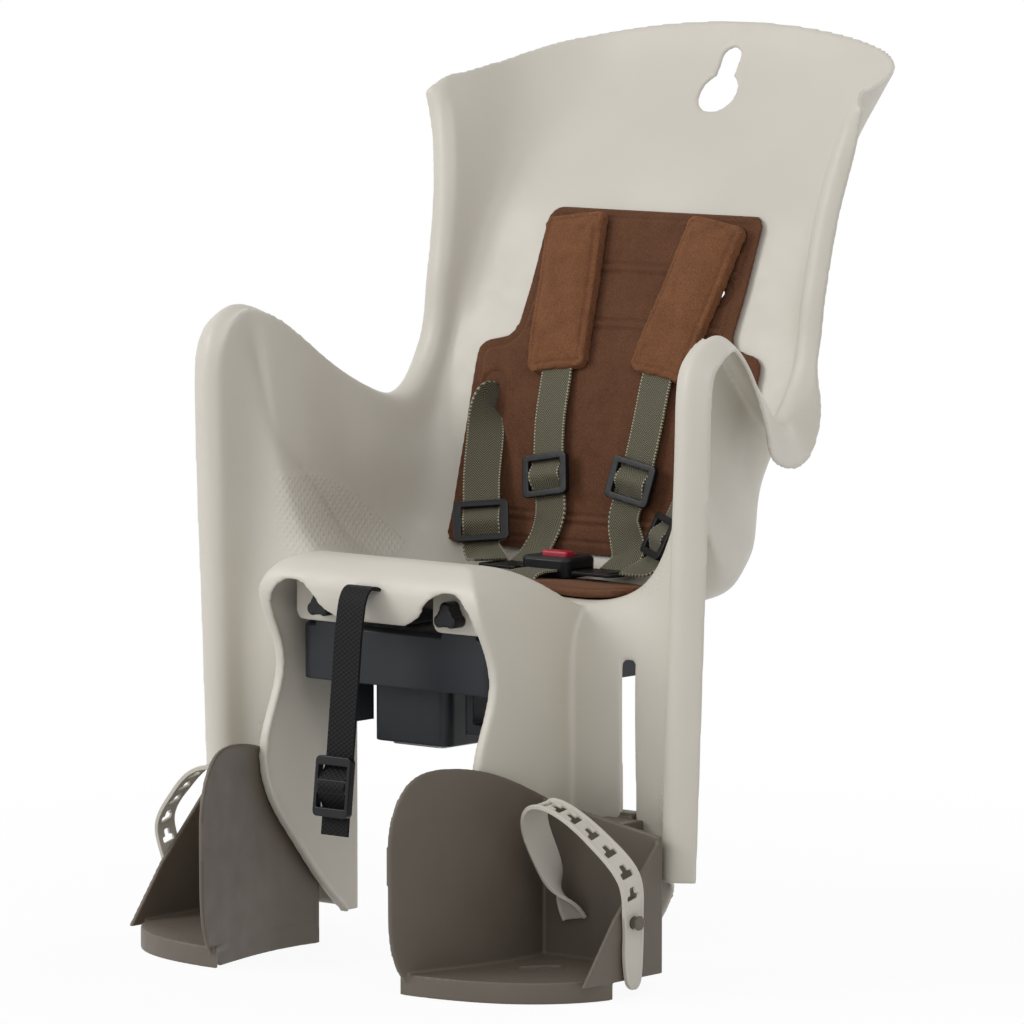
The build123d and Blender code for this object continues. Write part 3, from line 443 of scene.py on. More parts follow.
@dataclass(frozen=True)
class DottedShell(MouldedPlastic):
    """Shell moulding with a slightly raised panel of grip dots where the leg guards look well inwards.

    The panel's pattern runs along the wall and round its bend, so it counts sideways and forwards together.
    """

    dot_pitch_mm: float = 4.6
    dot_mm: float = 0.5
    panel_mm: float = 0.9
    panel_low_mm: float = -95.0
    panel_high_mm: float = 139.0
    panel_front_mm: float = -30.0
    panel_inside_mm: float = 156.0
    panel_lean: float = 0.10
    fall_start_mm: float = 10.0
    fall_per_mm: float = 0.0073
    inward_mm: float = -35.0
    inward_fade_mm: float = 30.0
    fade_mm: float = 6.0

    def height(self, tree: bpy.types.NodeTree, place: bpy.types.NodeSocket) -> bpy.types.NodeSocket:
        """Gives the height of the panel and its dots over the grain, in units of the grain's depth."""
        axes = add(tree, "SeparateXYZ", {"Vector": place})
        x, y, z = (axes.outputs[name] for name in "XYZ")
        out = calc(tree, "ABSOLUTE", x)
        sheet = add(tree, "CombineXYZ", {"X": calc(tree, "SUBTRACT", out, y), "Y": z})
        diagonal = (0.0, 0.0, math.radians(45))
        turned = add(tree, "Mapping", {"Vector": sheet.outputs["Vector"], "Rotation": diagonal})
        dots = add(tree, "TexVoronoi", {
            "Vector": turned.outputs["Vector"],
            "Scale": 1 / (self.dot_pitch_mm * MM),
            "Randomness": 0.0,
        }, voronoi_dimensions="2D")
        dome = add(tree, "MapRange", {
            "Value": dots.outputs["Distance"],
            "From Min": 0.44,
            "From Max": 0.10,
            "To Min": 0.0,
            "To Max": self.dot_mm / self.grain_depth_mm,
        }, interpolation_type="SMOOTHSTEP")
        behind = calc(tree, "MAXIMUM", calc(tree, "SUBTRACT", y, self.fall_start_mm * MM), 0.0)
        fall = calc(tree, "MULTIPLY", calc(tree, "MULTIPLY", behind, behind), self.fall_per_mm / MM)
        level = calc(tree, "ADD", z, fall)
        forward = calc(tree, "ADD", y, calc(tree, "MULTIPLY", z, -self.panel_lean))
        look = add(tree, "SeparateXYZ", {"Vector": place.node.outputs["Normal"]})
        inwards = calc(tree, "MULTIPLY", look.outputs["X"], x)
        shown = calc(tree, "ADD", dome.outputs["Result"], self.panel_mm / self.grain_depth_mm)
        for value, start, way in (
            (inwards, self.inward_mm, -self.inward_fade_mm),
            (z, self.panel_low_mm, self.fade_mm),
            (level, self.panel_high_mm, -self.fade_mm),
            (forward, self.panel_front_mm, self.fade_mm),
            (out, self.panel_inside_mm, self.fade_mm),
        ):
            edge = add(tree, "MapRange", {
                "Value": value,
                "From Min": start * MM,
                "From Max": (start + way) * MM,
            }, interpolation_type="SMOOTHSTEP")
            shown = calc(tree, "MULTIPLY", shown, edge.outputs["Result"])
        return calc(tree, "ADD", shown, super().height(tree, place))


@dataclass(frozen=True)
class Suede:
    """Brushed microfibre suede on foam: no gloss, a pale bloom at grazing angles and a cloudy nap.

    The fibres are finer than a pixel, so their grain is drawn at about a millimetre.
    """

    name: str
    dark: str
    colour: str
    light: str
    nap_mm: float = 22.0
    fibre_mm: float = 1.1

    def material(self) -> bpy.types.Material:
        """Makes the node material."""
        material, tree = new_material(self.name)
        place = add(tree, "TexCoord").outputs["Object"]
        nap = add(tree, "TexNoise", {
            "Vector": place,
            "Scale": 1 / (self.nap_mm * MM),
            "Detail": 5.0,
            "Roughness": 0.65,
            "Distortion": 0.6,
        })
        fibre = add(tree, "TexNoise", {"Vector": place, "Scale": 1 / (self.fibre_mm * MM), "Detail": 3.0})
        both = add(tree, "Mix", {
            "Factor": 0.62,
            "A": nap.outputs["Fac"],
            "B": fibre.outputs["Fac"],
        }, data_type="FLOAT")
        stops = ((0.32, self.dark), (0.5, self.colour), (0.7, self.light))
        colour = bands(tree, both.outputs["Result"], stops)
        surface(tree, fibre.outputs["Fac"], 0.6, 0.25, {
            "Base Color": colour.outputs["Color"],
            "Roughness": 0.92,
            "Specular IOR Level": 0.2,
            "Sheen Weight": 0.18,
            "Sheen Roughness": 0.5,
            "Sheen Tint": linear("#C49A7C"),
        })
        return material


@dataclass(frozen=True)
class Herringbone:
    """Polyester webbing woven in herringbone columns, with pale picks along both edges.

    It reads the piece's own UV map, in metres across and along the band. The threads are about 0.5 mm and
    are drawn at about 1.9 mm, so that the weave shows. Their colour follows the relief's wave, so the
    thread crowns are a painted highlight and the hollows painted shade.
    """

    name: str
    dark: str
    colour: str
    pick: str
    width_mm: float
    column_mm: float = 7.0
    thread_mm: float = 1.9
    edge_mm: float = 1.3
    pick_mm: float = 2.3
    fuzz_mm: float = 0.8

    def material(self) -> bpy.types.Material:
        """Makes the node material."""
        material, tree = new_material(self.name)
        grid = add(tree, "UVMap", uv_map="weave").outputs["UV"]
        axes = add(tree, "SeparateXYZ", {"Vector": grid})
        across, along = axes.outputs["X"], axes.outputs["Y"]
        slant = calc(tree, "ADD", calc(tree, "PINGPONG", across, self.column_mm * MM), along)
        wave = sine(tree, slant, self.thread_mm)
        thread = add(tree, "MapRange", {"Value": wave, "From Min": -1.0, "From Max": 1.0})
        fuzz = add(tree, "TexNoise", {"Vector": grid, "Scale": 1 / (self.fuzz_mm * MM), "Detail": 2.0})
        woven = add(tree, "Mix", {
            "Factor": 0.3,
            "A": thread.outputs["Result"],
            "B": fuzz.outputs["Fac"],
        }, data_type="FLOAT")
        # Painted highlight and shade on the weave's chevrons: the relief's thread crowns take the light
        # colour and its hollows the dark one.
        colour = bands(tree, woven.outputs["Result"], ((0.30, self.dark), (0.68, self.colour)))
        out = calc(tree, "ABSOLUTE", calc(tree, "SUBTRACT", across, self.width_mm * MM / 2))
        rim = add(tree, "MapRange", {
            "Value": out,
            "From Min": (self.width_mm / 2 - self.edge_mm) * MM,
            "From Max": (self.width_mm / 2 - self.edge_mm + 0.3) * MM,
        })
        dash = sine(tree, along, self.pick_mm)
        dot = add(tree, "MapRange", {"Value": dash, "From Min": 0.0, "From Max": 0.5})
        mark = calc(tree, "MULTIPLY", rim.outputs["Result"], dot.outputs["Result"])
        mixed = add(tree, "Mix", {
            "Factor": mark,
            "A": colour.outputs["Color"],
            "B": linear(self.pick),
        }, data_type="RGBA")
        surface(tree, woven.outputs["Result"], 0.7, 0.3, {
            "Base Color": mixed.outputs["Result"],
            "Roughness": 0.72,
            "Specular IOR Level": 0.3,
            "Sheen Weight": 0.12,
        })
        return material


@dataclass(frozen=True)
class RibbedWebbing:
    """Black polypropylene webbing with cross ribs, its thread crowns painted lighter as a painted highlight
    and its hollows darker as painted shade.
    """

    name: str
    dark: str
    colour: str
    rib_mm: float = 1.7
    column_mm: float = 5.0

    def material(self) -> bpy.types.Material:
        """Makes the node material."""
        material, tree = new_material(self.name)
        grid = add(tree, "UVMap", uv_map="weave").outputs["UV"]
        axes = add(tree, "SeparateXYZ", {"Vector": grid})
        ribs = sine(tree, axes.outputs["Y"], 2 * self.rib_mm)
        knit = calc(tree, "MULTIPLY", sine(tree, axes.outputs["X"], self.column_mm), ribs)
        level = add(tree, "MapRange", {"Value": knit, "From Min": -1.0, "From Max": 1.0})
        # Painted highlight and shade: the crowns of the ribs take the lighter colour and the hollows the
        # darker one.
        colour = bands(tree, level.outputs["Result"], ((0.2, self.dark), (0.85, self.colour)))
        surface(tree, level.outputs["Result"], 0.8, 0.3, {
            "Base Color": colour.outputs["Color"],
            "Roughness": 0.6,
            "Specular IOR Level": 0.15,
        })
        return material


@dataclass(frozen=True)
class ZincSteel:
    """Zinc-plated sheet steel: cool grey, faintly cloudy, with fine rolling lines."""

    name: str
    colour: str = "#B9BBBD"
    cloud: str = "#9A9C9F"
    line_mm: float = 0.9

    def material(self) -> bpy.types.Material:
        """Makes the node material."""
        material, tree = new_material(self.name)
        place = add(tree, "TexCoord").outputs["Object"]
        drawn = add(tree, "Mapping", {"Vector": place, "Scale": (1.0, 0.06, 1.0)})
        fine = 1 / (self.line_mm * MM)
        lines = add(tree, "TexNoise", {"Vector": drawn.outputs["Vector"], "Scale": fine, "Detail": 3.0})
        colour = bands(tree, lines.outputs["Fac"], ((0.3, self.cloud), (0.7, self.colour)))
        surface(tree, lines.outputs["Fac"], 0.3, 0.05, {
            "Base Color": colour.outputs["Color"],
            "Metallic": 1.0,
            "Roughness": 0.36,
        })
        return material


SHELL = DottedShell("moulded_warm_grey_polypropylene", "#CFC9BD", "#CAC4B7", roughness=0.44)
PAD_SUEDE = Suede("brushed_brown_suede", "#5C3B29", "#71492F", "#85593D")
# The shoulder pads' suede made darker for the pads set deep in the shell: painted shade.
DARK_SUEDE_PAINTED_SHADE = Suede("brown_suede_darker_painted_shade", "#4A2F20", "#5D3C29", "#6C4833")
# The suede made lighter for the shoulder pads' rounded lower edge: painted highlight.
PAD_LIP_PAINTED_HIGHLIGHT = Suede("turned_suede_edge", "#7A5037", "#8D6044", "#A0714F", nap_mm=12.0)
# The darkest copy of the suede, for the back pad's faces that turn away from the front: painted shade.
PAD_SIDE_PAINTED_SHADE = Suede("brown_suede_sides_painted_shade", "#2E1D14", "#3C271B", "#4A3224")
PAD_FOAM = MouldedPlastic(
    "grey_foam_backing", "#8D8E8E", "#828384", roughness=0.85, grain_mm=1.6, grain_depth_mm=0.3
)
# The first colour is painted shade in the weave's hollows and the second a painted highlight on its thread
# crowns; the third is the pale picks.
OLIVE_WEB = Herringbone("olive_herringbone_webbing", "#2E2C21", "#726D57", "#ACA88E", 28.0)
# The darker colour is painted shade in the ribs' hollows, the lighter one a painted highlight on their
# crowns.
BLACK_WEB = RibbedWebbing("black_ribbed_webbing", "#040405", "#1A1A1C")
BLACK_PLASTIC = MouldedPlastic("moulded_black_nylon", "#141518", "#0F1012", roughness=0.34, shine=0.3)
MOUNT_PLASTIC = MouldedPlastic(
    "moulded_black_glass_filled_nylon", "#24262B", "#1D1F24", roughness=0.44, shine=0.35
)
RED_PLASTIC = MouldedPlastic("moulded_red_acetal", "#B3263A", "#A32033", roughness=0.33)
FOOT_PLASTIC = MouldedPlastic(
    "moulded_taupe_polypropylene", "#685E53", "#5E554A", roughness=0.5, grain_depth_mm=0.08
)
STRAP_RUBBER = MouldedPlastic("moulded_beige_rubber", "#CDC7BC", "#C4BEB2", roughness=0.55, grain_mm=2.0)
STEEL = ZincSteel("zinc_plated_steel")


@dataclass
class Wardrobe:
    """Materials made so far, one for each finish."""

    made: dict[str, bpy.types.Material] = field(default_factory=dict)

    def dress(self, obj: bpy.types.Object, *finishes: object) -> None:
        """Puts finishes in an object's material slots.

        Args:
            obj: The piece.
            finishes: One finish for each slot.
        """
        obj.data.materials.clear()
        for finish in finishes:
            if finish.name not in self.made:
                self.made[finish.name] = finish.material()
            obj.data.materials.append(self.made[finish.name])


# Routes of bands

@dataclass(frozen=True)
class Route:
    """Middle line of a band, in millimetres, with the way its outer face looks at each point."""

    points: tuple[Triple, ...]
    facing: tuple[Triple, ...]

    def mirrored(self) -> "Route":
        """Gives the same route on the other side of the seat."""
        flip = [tuple((-x, y, z) for x, y, z in rows) for rows in (self.points, self.facing)]
        return Route(*flip)

    @staticmethod
    def flow(rows: np.ndarray, t: float) -> np.ndarray:
        """Gives a row at a station on a smooth curve through all rows.

        Args:
            rows: Points or directions.
            t: Station, a whole number at each row.

        Returns:
            The three numbers there.
        """
        last = len(rows) - 1
        i = min(int(t), last - 1)
        f = t - i
        p1, p2 = rows[i], rows[i + 1]
        p0 = rows[i - 1] if i else 2 * p1 - p2
        p3 = rows[i + 2] if i + 2 <= last else 2 * p2 - p1
        curve = (2 * p0 - 5 * p1 + 4 * p2 - p3) * f**2 + (3 * p1 - p0 - 3 * p2 + p3) * f**3
        return (2 * p1 + (p2 - p0) * f + curve) * 0.5

    def frames(self, steps: int = 400) -> tuple[np.ndarray, np.ndarray, np.ndarray, np.ndarray]:
        """Samples the route evenly by station.

        Args:
            steps: How many samples.

        Returns:
            Distances along the route in metres, places, directions across and directions out of the face.
        """
        points = np.array(self.points) * MM
        facing = np.array(self.facing)
        stations = np.linspace(0, len(points) - 1, steps)
        places = np.array([self.flow(points, t) for t in stations])
        looks = np.array([self.flow(facing, t) for t in stations])
        ways = np.gradient(places, axis=0)
        ways /= np.linalg.norm(ways, axis=1)[:, None]
        across = np.cross(ways, looks)
        across /= np.linalg.norm(across, axis=1)[:, None]
        outs = np.cross(across, ways)
        runs = np.concatenate([[0], np.cumsum(np.linalg.norm(np.diff(places, axis=0), axis=1))])
        return runs, places, across, outs

    def station(self, t: float) -> float:
        """Gives the distance along the route at a station, in metres."""
        runs = self.frames()[0]
        return float(np.interp(t, np.linspace(0, len(self.points) - 1, len(runs)), runs))

    def lay(self, obj: bpy.types.Object) -> None:
        """Bends a flat band onto the route: its X goes across, its Y along and its Z out of the face.

        Args:
            obj: The flat band, with Y from 0 to the route's length.
        """
        runs, places, across, outs = self.frames()
        flat = coordinates(obj)
        rows = []
        for table in (places, across, outs):
            rows.append(np.stack([np.interp(flat[:, 1], runs, table[:, k]) for k in range(3)], axis=1))
        move_to(obj, rows[0] + rows[1] * flat[:, :1] + rows[2] * flat[:, 2:])


SHOULDER_ROUTE = Route(
    (
        (68.0, 205.1, 305.8), (68.0, 190.7, 312.0), (64.0, 182.4, 302.6), (60.0, 173.1, 280.1),
        (56.0, 162.6, 257.7), (52.0, 151.8, 234.3), (48.0, 143.2, 210.1), (46.4, 133.1, 172.6),
        (41.3, 125.6, 134.4), (35.3, 120.3, 106.8), (43.0, 116.0, 81.7), (43.0, 100.0, 70.3),
    ),
    (
        (0.0, 0.40, 0.92), (0.0, 0.03, 1.0), (0.0, -0.93, 0.38), (0.0, -0.92, 0.40),
        (0.0, -0.90, 0.44), (0.0, -0.92, 0.39), (0.0, -0.96, 0.27), (0.0, -0.98, 0.19),
        (0.0, -0.98, 0.17), (0.0, -0.97, 0.23), (0.0, -0.71, 0.71), (0.0, -0.30, 0.95),
    ),
)
HIP_ROUTE = Route(
    (
        (112.0, 156.8, 181.5), (112.0, 137.2, 185.3), (103.0, 124.0, 159.0), (97.0, 113.0, 128.0),
        (86.5, 101.0, 93.0), (81.5, 95.0, 78.0), (63.0, 83.0, 72.1),
    ),
    (
        (-1.0, 0.0, 0.10), (-0.99, -0.10, 0.10), (-0.68, -0.68, 0.29), (-0.51, -0.81, 0.30),
        (-0.51, -0.81, 0.30), (-0.42, -0.74, 0.53), (0.0, 0.0, 1.0),
    ),
)
CROTCH_ROUTE = Route(
    ((0.0, 40.0, 49.0), (0.0, 40.0, 60.0), (0.0, 43.0, 67.7), (0.0, 52.0, 70.7), (0.0, 67.7, 70.7)),
    ((0.0, -1.0, 0.0), (0.0, -1.0, 0.10), (0.0, -0.71, 0.71), (0.0, -0.20, 0.98), (0.0, 0.0, 1.0)),
)
FRAME_ROUTE = Route(
    (
        (0.0, -117.0, 66.0), (0.0, -135.0, 76.3), (0.0, -145.4, 70.0), (0.0, -150.7, 46.0),
        (0.0, -153.8, 18.0), (0.0, -156.9, -10.0), (0.0, -159.9, -38.0), (0.0, -163.0, -66.0),
        (0.0, -166.8, -101.0),
    ),
    (
        (0.0, 0.50, 0.87), (0.0, 0.20, 0.98), (0.0, -0.86, 0.51), (0.0, -1.0, 0.10),
        (0.0, -1.0, 0.10), (0.0, -1.0, 0.10), (0.0, -1.0, 0.10), (0.0, -1.0, 0.10),
        (0.0, -1.0, 0.10),
    ),
)
FOOT_ROUTE = Route(
    (
        (143.0, -67.9, -158.0), (137.0, -88.0, -120.0), (139.0, -108.0, -88.0), (152.0, -118.0, -71.0),
        (173.0, -118.0, -74.0), (198.0, -112.0, -92.0), (220.6, -105.0, -118.0), (218.6, -98.0, -150.0),
        (219.2, -99.0, -174.0), (219.8, -99.0, -198.0),
    ),
    (
        (0.0, -0.98, 0.20), (-0.65, -0.28, 0.70), (-0.38, -0.18, 0.91), (-0.16, -0.15, 0.98),
        (0.10, -0.16, 0.98), (0.49, -0.18, 0.86), (0.85, -0.18, 0.49), (1.0, 0.0, 0.0),
        (1.0, 0.0, 0.0), (1.0, 0.0, 0.0),
    ),
)


# Sub-assemblies

@dataclass
class Workshop:
    """What every sub-assembly needs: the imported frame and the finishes."""

    frame: dict
    wardrobe: Wardrobe

    def node(self, name: str) -> bpy.types.Object:
        """Gives a CAD node's object."""
        return self.frame["nodes"][name]

    def body_of(self, name: str) -> str:
        """Gives the name of the body that carries a CAD node."""
        parent = self.node(name).parent
        return next(body for body, empty in self.frame["bodies"].items() if empty is parent)

    def hand_over(self, obj: bpy.types.Object, node: str, slot: str, *finishes: object) -> None:
        """Dresses a new piece and lets it stand for a CAD node on its body.

        Args:
            obj: The new piece.
            node: The CAD node that it replaces.
            slot: The record's material slot; not used.
            finishes: One finish for each material slot of the piece.
        """
        self.wardrobe.dress(obj, *finishes)
        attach(obj, self.body_of(node))
        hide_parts(node)
        LOG.info("%s replaces %s", obj.name, node)


@dataclass
class RoundedMoulding:
    """A rigid node's own shape with its edges rounded as a mould leaves them."""

    node: str
    slot: str
    finish: object
    edges: Rounding = Rounding()
    clear_mm: float = 0.0

    def build(self, shop: Workshop) -> bpy.types.Object:
        """Copies the node, rounds its edges and draws it in by the room that a sliding fit needs.

        Args:
            shop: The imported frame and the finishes.

        Returns:
            The new piece.
        """
        obj = twin(shop.node(self.node), self.node + "_moulded")
        self.edges.apply(obj)
        move_to(obj, coordinates(obj) - normals(obj) * self.clear_mm * MM)
        shop.hand_over(obj, self.node, self.slot, self.finish)
        return obj


@dataclass
class PaddedPiece:
    """A foam pad covered in suede, swollen by pressure inside its CAD solid's space."""

    node: str
    fill: float
    voxel_mm: float = 2.6
    swell_mm: float = 2.5
    start_mm: float = 0.6
    pressure: float = 4.0
    frames: int = 20

    def remeshed(self, shop: Workshop) -> bpy.types.Object:
        """Copies the CAD solid, draws it in a little and remeshes it evenly.

        Args:
            shop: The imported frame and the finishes.

        Returns:
            The new object.
        """
        obj = twin(shop.node(self.node), self.node + "_cover")
        finish_modifier(obj, "REMESH", mode="VOXEL", voxel_size=self.voxel_mm * MM)
        move_to(obj, coordinates(obj) - normals(obj) * self.start_mm * MM)
        return obj

    def swell(self, obj: bpy.types.Object, held: np.ndarray) -> None:
        """Inflates the pad with a short cloth run and caps how far each point moves.

        Args:
            obj: The remeshed pad.
            held: True for each vertex that stays where it is.
        """
        before = coordinates(obj)
        group = obj.vertex_groups.new(name="held")
        group.add([int(i) for i in np.nonzero(held)[0]], 1.0, "REPLACE")
        pick(obj)
        cloth = obj.modifiers.new("cloth", "CLOTH")
        cloth.settings.vertex_group_mass = group.name
        cloth.settings.use_pressure = True
        cloth.settings.uniform_pressure_force = self.pressure
        cloth.settings.effector_weights.gravity = 0.0
        cloth.point_cache.frame_start = 1
        cloth.point_cache.frame_end = self.frames
        scene = bpy.context.scene
        for number in range(1, self.frames + 1):
            scene.frame_set(number)
        bpy.ops.object.modifier_apply(modifier=cloth.name)
        scene.frame_set(1)
        obj.vertex_groups.clear()
        shift = coordinates(obj) - before
        reach = np.linalg.norm(shift, axis=1)
        scale = np.minimum(1.0, self.swell_mm * MM / np.maximum(reach, 1e-9))
        move_to(obj, before + shift * scale[:, None])

    def refine(self, obj: bpy.types.Object) -> None:
        """Adds one subdivision and shades the pad smooth."""
        finish_modifier(obj, "SUBSURF", levels=1, render_levels=1)
        smooth(obj, 60)

    def press(self, obj: bpy.types.Object, depth: np.ndarray, out: np.ndarray) -> None:
        """Presses seams and channels into the pad.

        Args:
            obj: The pad.
            depth: Depth in metres for each vertex.
            out: Direction out of the pad.
        """
        move_to(obj, coordinates(obj) - np.outer(depth, out))

    def paint(self, obj: bpy.types.Object, back: Callable[[np.ndarray, np.ndarray], np.ndarray]) -> None:
        """Gives the faces of the backing their own material slot.

        Args:
            obj: The pad.
            back: Takes the faces' middles and normals, gives the slot number of each.
        """
        faces = obj.data.polygons
        slots = back(triples(faces, "center"), triples(faces, "normal"))
        faces.foreach_set("material_index", slots.astype(np.int32))
        obj.data.update()


def groove(distance: np.ndarray, width_mm: float) -> np.ndarray:
    """Gives the depth profile of a pressed line.

    Args:
        distance: Distances from the line, in metres.
        width_mm: Half of the line's width.

    Returns:
        1 on the line, falling smoothly to 0 at its edge.
    """
    return np.clip(1 - (distance / (width_mm * MM)) ** 2, 0, 1) ** 2


def rise(values: np.ndarray, start_mm: float, end_mm: float) -> np.ndarray:
    """Gives a smooth step.

    Args:
        values: Distances in metres.
        start_mm: Where the step starts.
        end_mm: Where it ends.

    Returns:
        0 before the start, 1 past the end.
    """
    part = np.clip((values - start_mm * MM) / ((end_mm - start_mm) * MM), 0, 1)
    return part * part * (3 - 2 * part)


def edge_distance(obj: bpy.types.Object, out: np.ndarray) -> np.ndarray:
    """Gives each vertex's distance from the pad's sides, seen straight on.

    Args:
        obj: The pad.
        out: Direction out of the pad's face.

    Returns:
        One distance for each vertex, in metres.
    """
    places = coordinates(obj)
    flat = places - np.outer(places @ out, out)
    sides = flat[np.abs(normals(obj) @ out) < 0.4]
    tree = kdtree.KDTree(len(sides))
    for number, spot in enumerate(sides):
        tree.insert(spot, number)
    tree.balance()
    return np.array([tree.find(spot)[2] for spot in flat])


@dataclass
class BackPad(PaddedPiece):
    """T-shaped back pad with a thin pressed border and raised cross welts."""

    node: str = "back_pad"
    fill: float = 0.5
    voxel_mm: float = 2.2
    lean: Triple = (0.0, -0.92, 0.39)
    border_mm: float = 8.0
    border_sink_mm: float = 1.3
    line_mm: float = 0.9
    line_half_mm: float = 2.4
    welt_half_mm: float = 3.4
    welt_line_mm: float = 1.1
    welt_rise_mm: float = 0.7
    welt_crown_mm: float = 2.2
    welts_mm: tuple[float, ...] = (288.0, 247.0, 103.0)

    def build(self, shop: Workshop) -> bpy.types.Object:
        """Builds, swells and presses the pad.

        Args:
            shop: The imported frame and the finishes.

        Returns:
            The new piece.
        """
        obj = self.remeshed(shop)
        out = np.array(self.lean)
        self.swell(obj, normals(obj) @ out < 0.3)
        self.refine(obj)
        places = coordinates(obj)
        front = np.clip(normals(obj) @ out, 0, 1)
        edge = edge_distance(obj, out)
        depth = self.border_sink_mm * (1 - rise(edge, self.border_mm - 2, self.border_mm + 2))
        depth += self.line_mm * groove(edge - self.border_mm * MM, self.line_half_mm)
        within = rise(edge, self.border_mm + 1, self.border_mm + 4)
        for level in self.welts_mm:
            off = np.abs(places[:, 2] - level * MM)
            sides = self.welt_line_mm * groove(off - self.welt_half_mm * MM, self.line_half_mm)
            depth += within * (sides - self.welt_rise_mm * groove(off, self.welt_crown_mm))
        self.press(obj, depth * front * MM, out)
        # Faces that turn away from the front take slot 1, the darkest suede: painted shade on the pad's
        # sides.
        self.paint(obj, lambda middles, looks: np.where(looks @ out < 0.45, 1, 0))
        # The back pad wears the darker suede, painted shade deep in the shell.
        shop.hand_over(obj, self.node, "pad_cloth", DARK_SUEDE_PAINTED_SHADE, PAD_SIDE_PAINTED_SHADE)
        return obj


@dataclass
class SeatPad(PaddedPiece):
    """Seat pad: suede with a pressed border on top, grey foam on its edge and below."""

    node: str = "seat_pad"
    fill: float = 0.5
    border_mm: float = 9.0
    line_mm: float = 0.9
    line_half_mm: float = 2.6

    def build(self, shop: Workshop) -> bpy.types.Object:
        """Builds and swells the pad and shows the foam at its edge.

        Args:
            shop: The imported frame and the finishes.

        Returns:
            The new piece.
        """
        obj = self.remeshed(shop)
        up = np.array((0.0, 0.0, 1.0))
        self.swell(obj, normals(obj)[:, 2] < 0.3)
        self.refine(obj)
        edge = edge_distance(obj, up)
        top = np.clip(normals(obj) @ up, 0, 1)
        depth = self.line_mm * groove(edge - self.border_mm * MM, self.line_half_mm) * top * MM
        self.press(obj, depth, up)
        self.paint(obj, lambda middles, looks: np.where(looks[:, 2] < 0.8, 1, 0))
        # The seat pad wears the darker suede, painted shade at the bottom of the shell.
        shop.hand_over(obj, self.node, "pad_cloth", DARK_SUEDE_PAINTED_SHADE, PAD_FOAM)
        return obj


@dataclass
class ShoulderPad(PaddedPiece):
    """Padded sleeve on a shoulder strap with a stitched border, a lighter lower edge that is a painted
    highlight, and a grey backing.
    """

    node: str = "shoulder_pad"
    fill: float = 0.7
    side: Side = Side.LEFT
    voxel_mm: float = 2.0
    swell_mm: float = 4.5
    lean: Triple = (0.0, -0.91, 0.41)
    down: Triple = (-0.19, -0.40, -0.89)
    seam_mm: float = 4.5
    seam_sink_mm: float = 1.1
    seam_half_mm: float = 1.8
    lip_mm: float = 6.5

    def build(self, shop: Workshop) -> bpy.types.Object:
        """Builds and swells the sleeve, sews its border and gives it its backing.

        Args:
            shop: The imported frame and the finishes.

        Returns:
            The new piece.
        """
        out = np.array(self.lean)
        down = np.array(self.down) * np.array((self.side.value, 1, 1))
        obj = self.remeshed(shop)
        self.swell(obj, normals(obj) @ out < -0.5)
        self.refine(obj)
        front = np.clip(normals(obj) @ out, 0, 1)
        off = edge_distance(obj, out) - self.seam_mm * MM
        self.press(obj, self.seam_sink_mm * groove(off, self.seam_half_mm) * front * MM, out)
        end = float((coordinates(obj) @ down).max()) - self.lip_mm * MM

        def slots(middles: np.ndarray, looks: np.ndarray) -> np.ndarray:
            """Gives the backing and the lighter lower edge, a painted highlight, their slots."""
            return np.where(looks @ out < -0.3, 1, np.where(middles @ down > end, 2, 0))

        self.paint(obj, slots)
        shop.hand_over(obj, self.node, "pad_cloth", PAD_SUEDE, PAD_FOAM, PAD_LIP_PAINTED_HIGHLIGHT)
        return obj


@dataclass
class Band:
    """A flat woven band laid on its route."""

    node: str
    slot: str
    finish: object
    route: Route
    width_mm: float
    thick_mm: float
    lift_mm: float = 0.0
    step_mm: float = 1.5
    columns: int = 6
    over: tuple[Triple, ...] = ()

    def thread(self, obj: bpy.types.Object) -> None:
        """Lifts the flat band over each middle bar that it is threaded round.

        Args:
            obj: The flat band.
        """
        flat = coordinates(obj)
        for station, half_mm, height_mm in self.over:
            part = np.clip((flat[:, 1] - self.route.station(station)) / (half_mm * MM), -1, 1)
            flat[:, 2] += height_mm * MM * np.cos(part * math.pi / 2) ** 2
        move_to(obj, flat)

    def build(self, shop: Workshop) -> bpy.types.Object:
        """Adds a flat grid, gives it the weave's UV map, lays it on the route and thickens it.

        Args:
            shop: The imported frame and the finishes.

        Returns:
            The new piece.
        """
        length = float(self.route.frames()[0][-1])
        bpy.ops.object.select_all(action="DESELECT")
        rows = max(8, round(length / (self.step_mm * MM)))
        bpy.ops.mesh.primitive_grid_add(x_subdivisions=self.columns, y_subdivisions=rows, size=1.0)
        obj = bpy.context.object
        obj.name = obj.data.name = self.node + "_woven"
        bpy.ops.object.mode_set(mode="EDIT")
        bpy.ops.mesh.select_all(action="SELECT")
        bpy.ops.transform.resize(value=(self.width_mm * MM, length, 1.0))
        bpy.ops.transform.translate(value=(0.0, length / 2, (self.lift_mm + self.thick_mm / 2) * MM))
        bpy.ops.object.mode_set(mode="OBJECT")
        uv = obj.data.uv_layers[0]
        uv.name = "weave"
        spots = np.zeros(2 * len(uv.data), np.float32)
        uv.data.foreach_get("uv", spots)
        spots = spots.reshape(-1, 2) * np.array([self.width_mm * MM, length])
        uv.data.foreach_set("uv", spots.astype(np.float32).ravel())
        self.thread(obj)
        self.route.lay(obj)
        finish_modifier(obj, "SOLIDIFY", thickness=self.thick_mm * MM, offset=0.0)
        smooth(obj, 50)
        shop.hand_over(obj, self.node, self.slot, self.finish)
        return obj


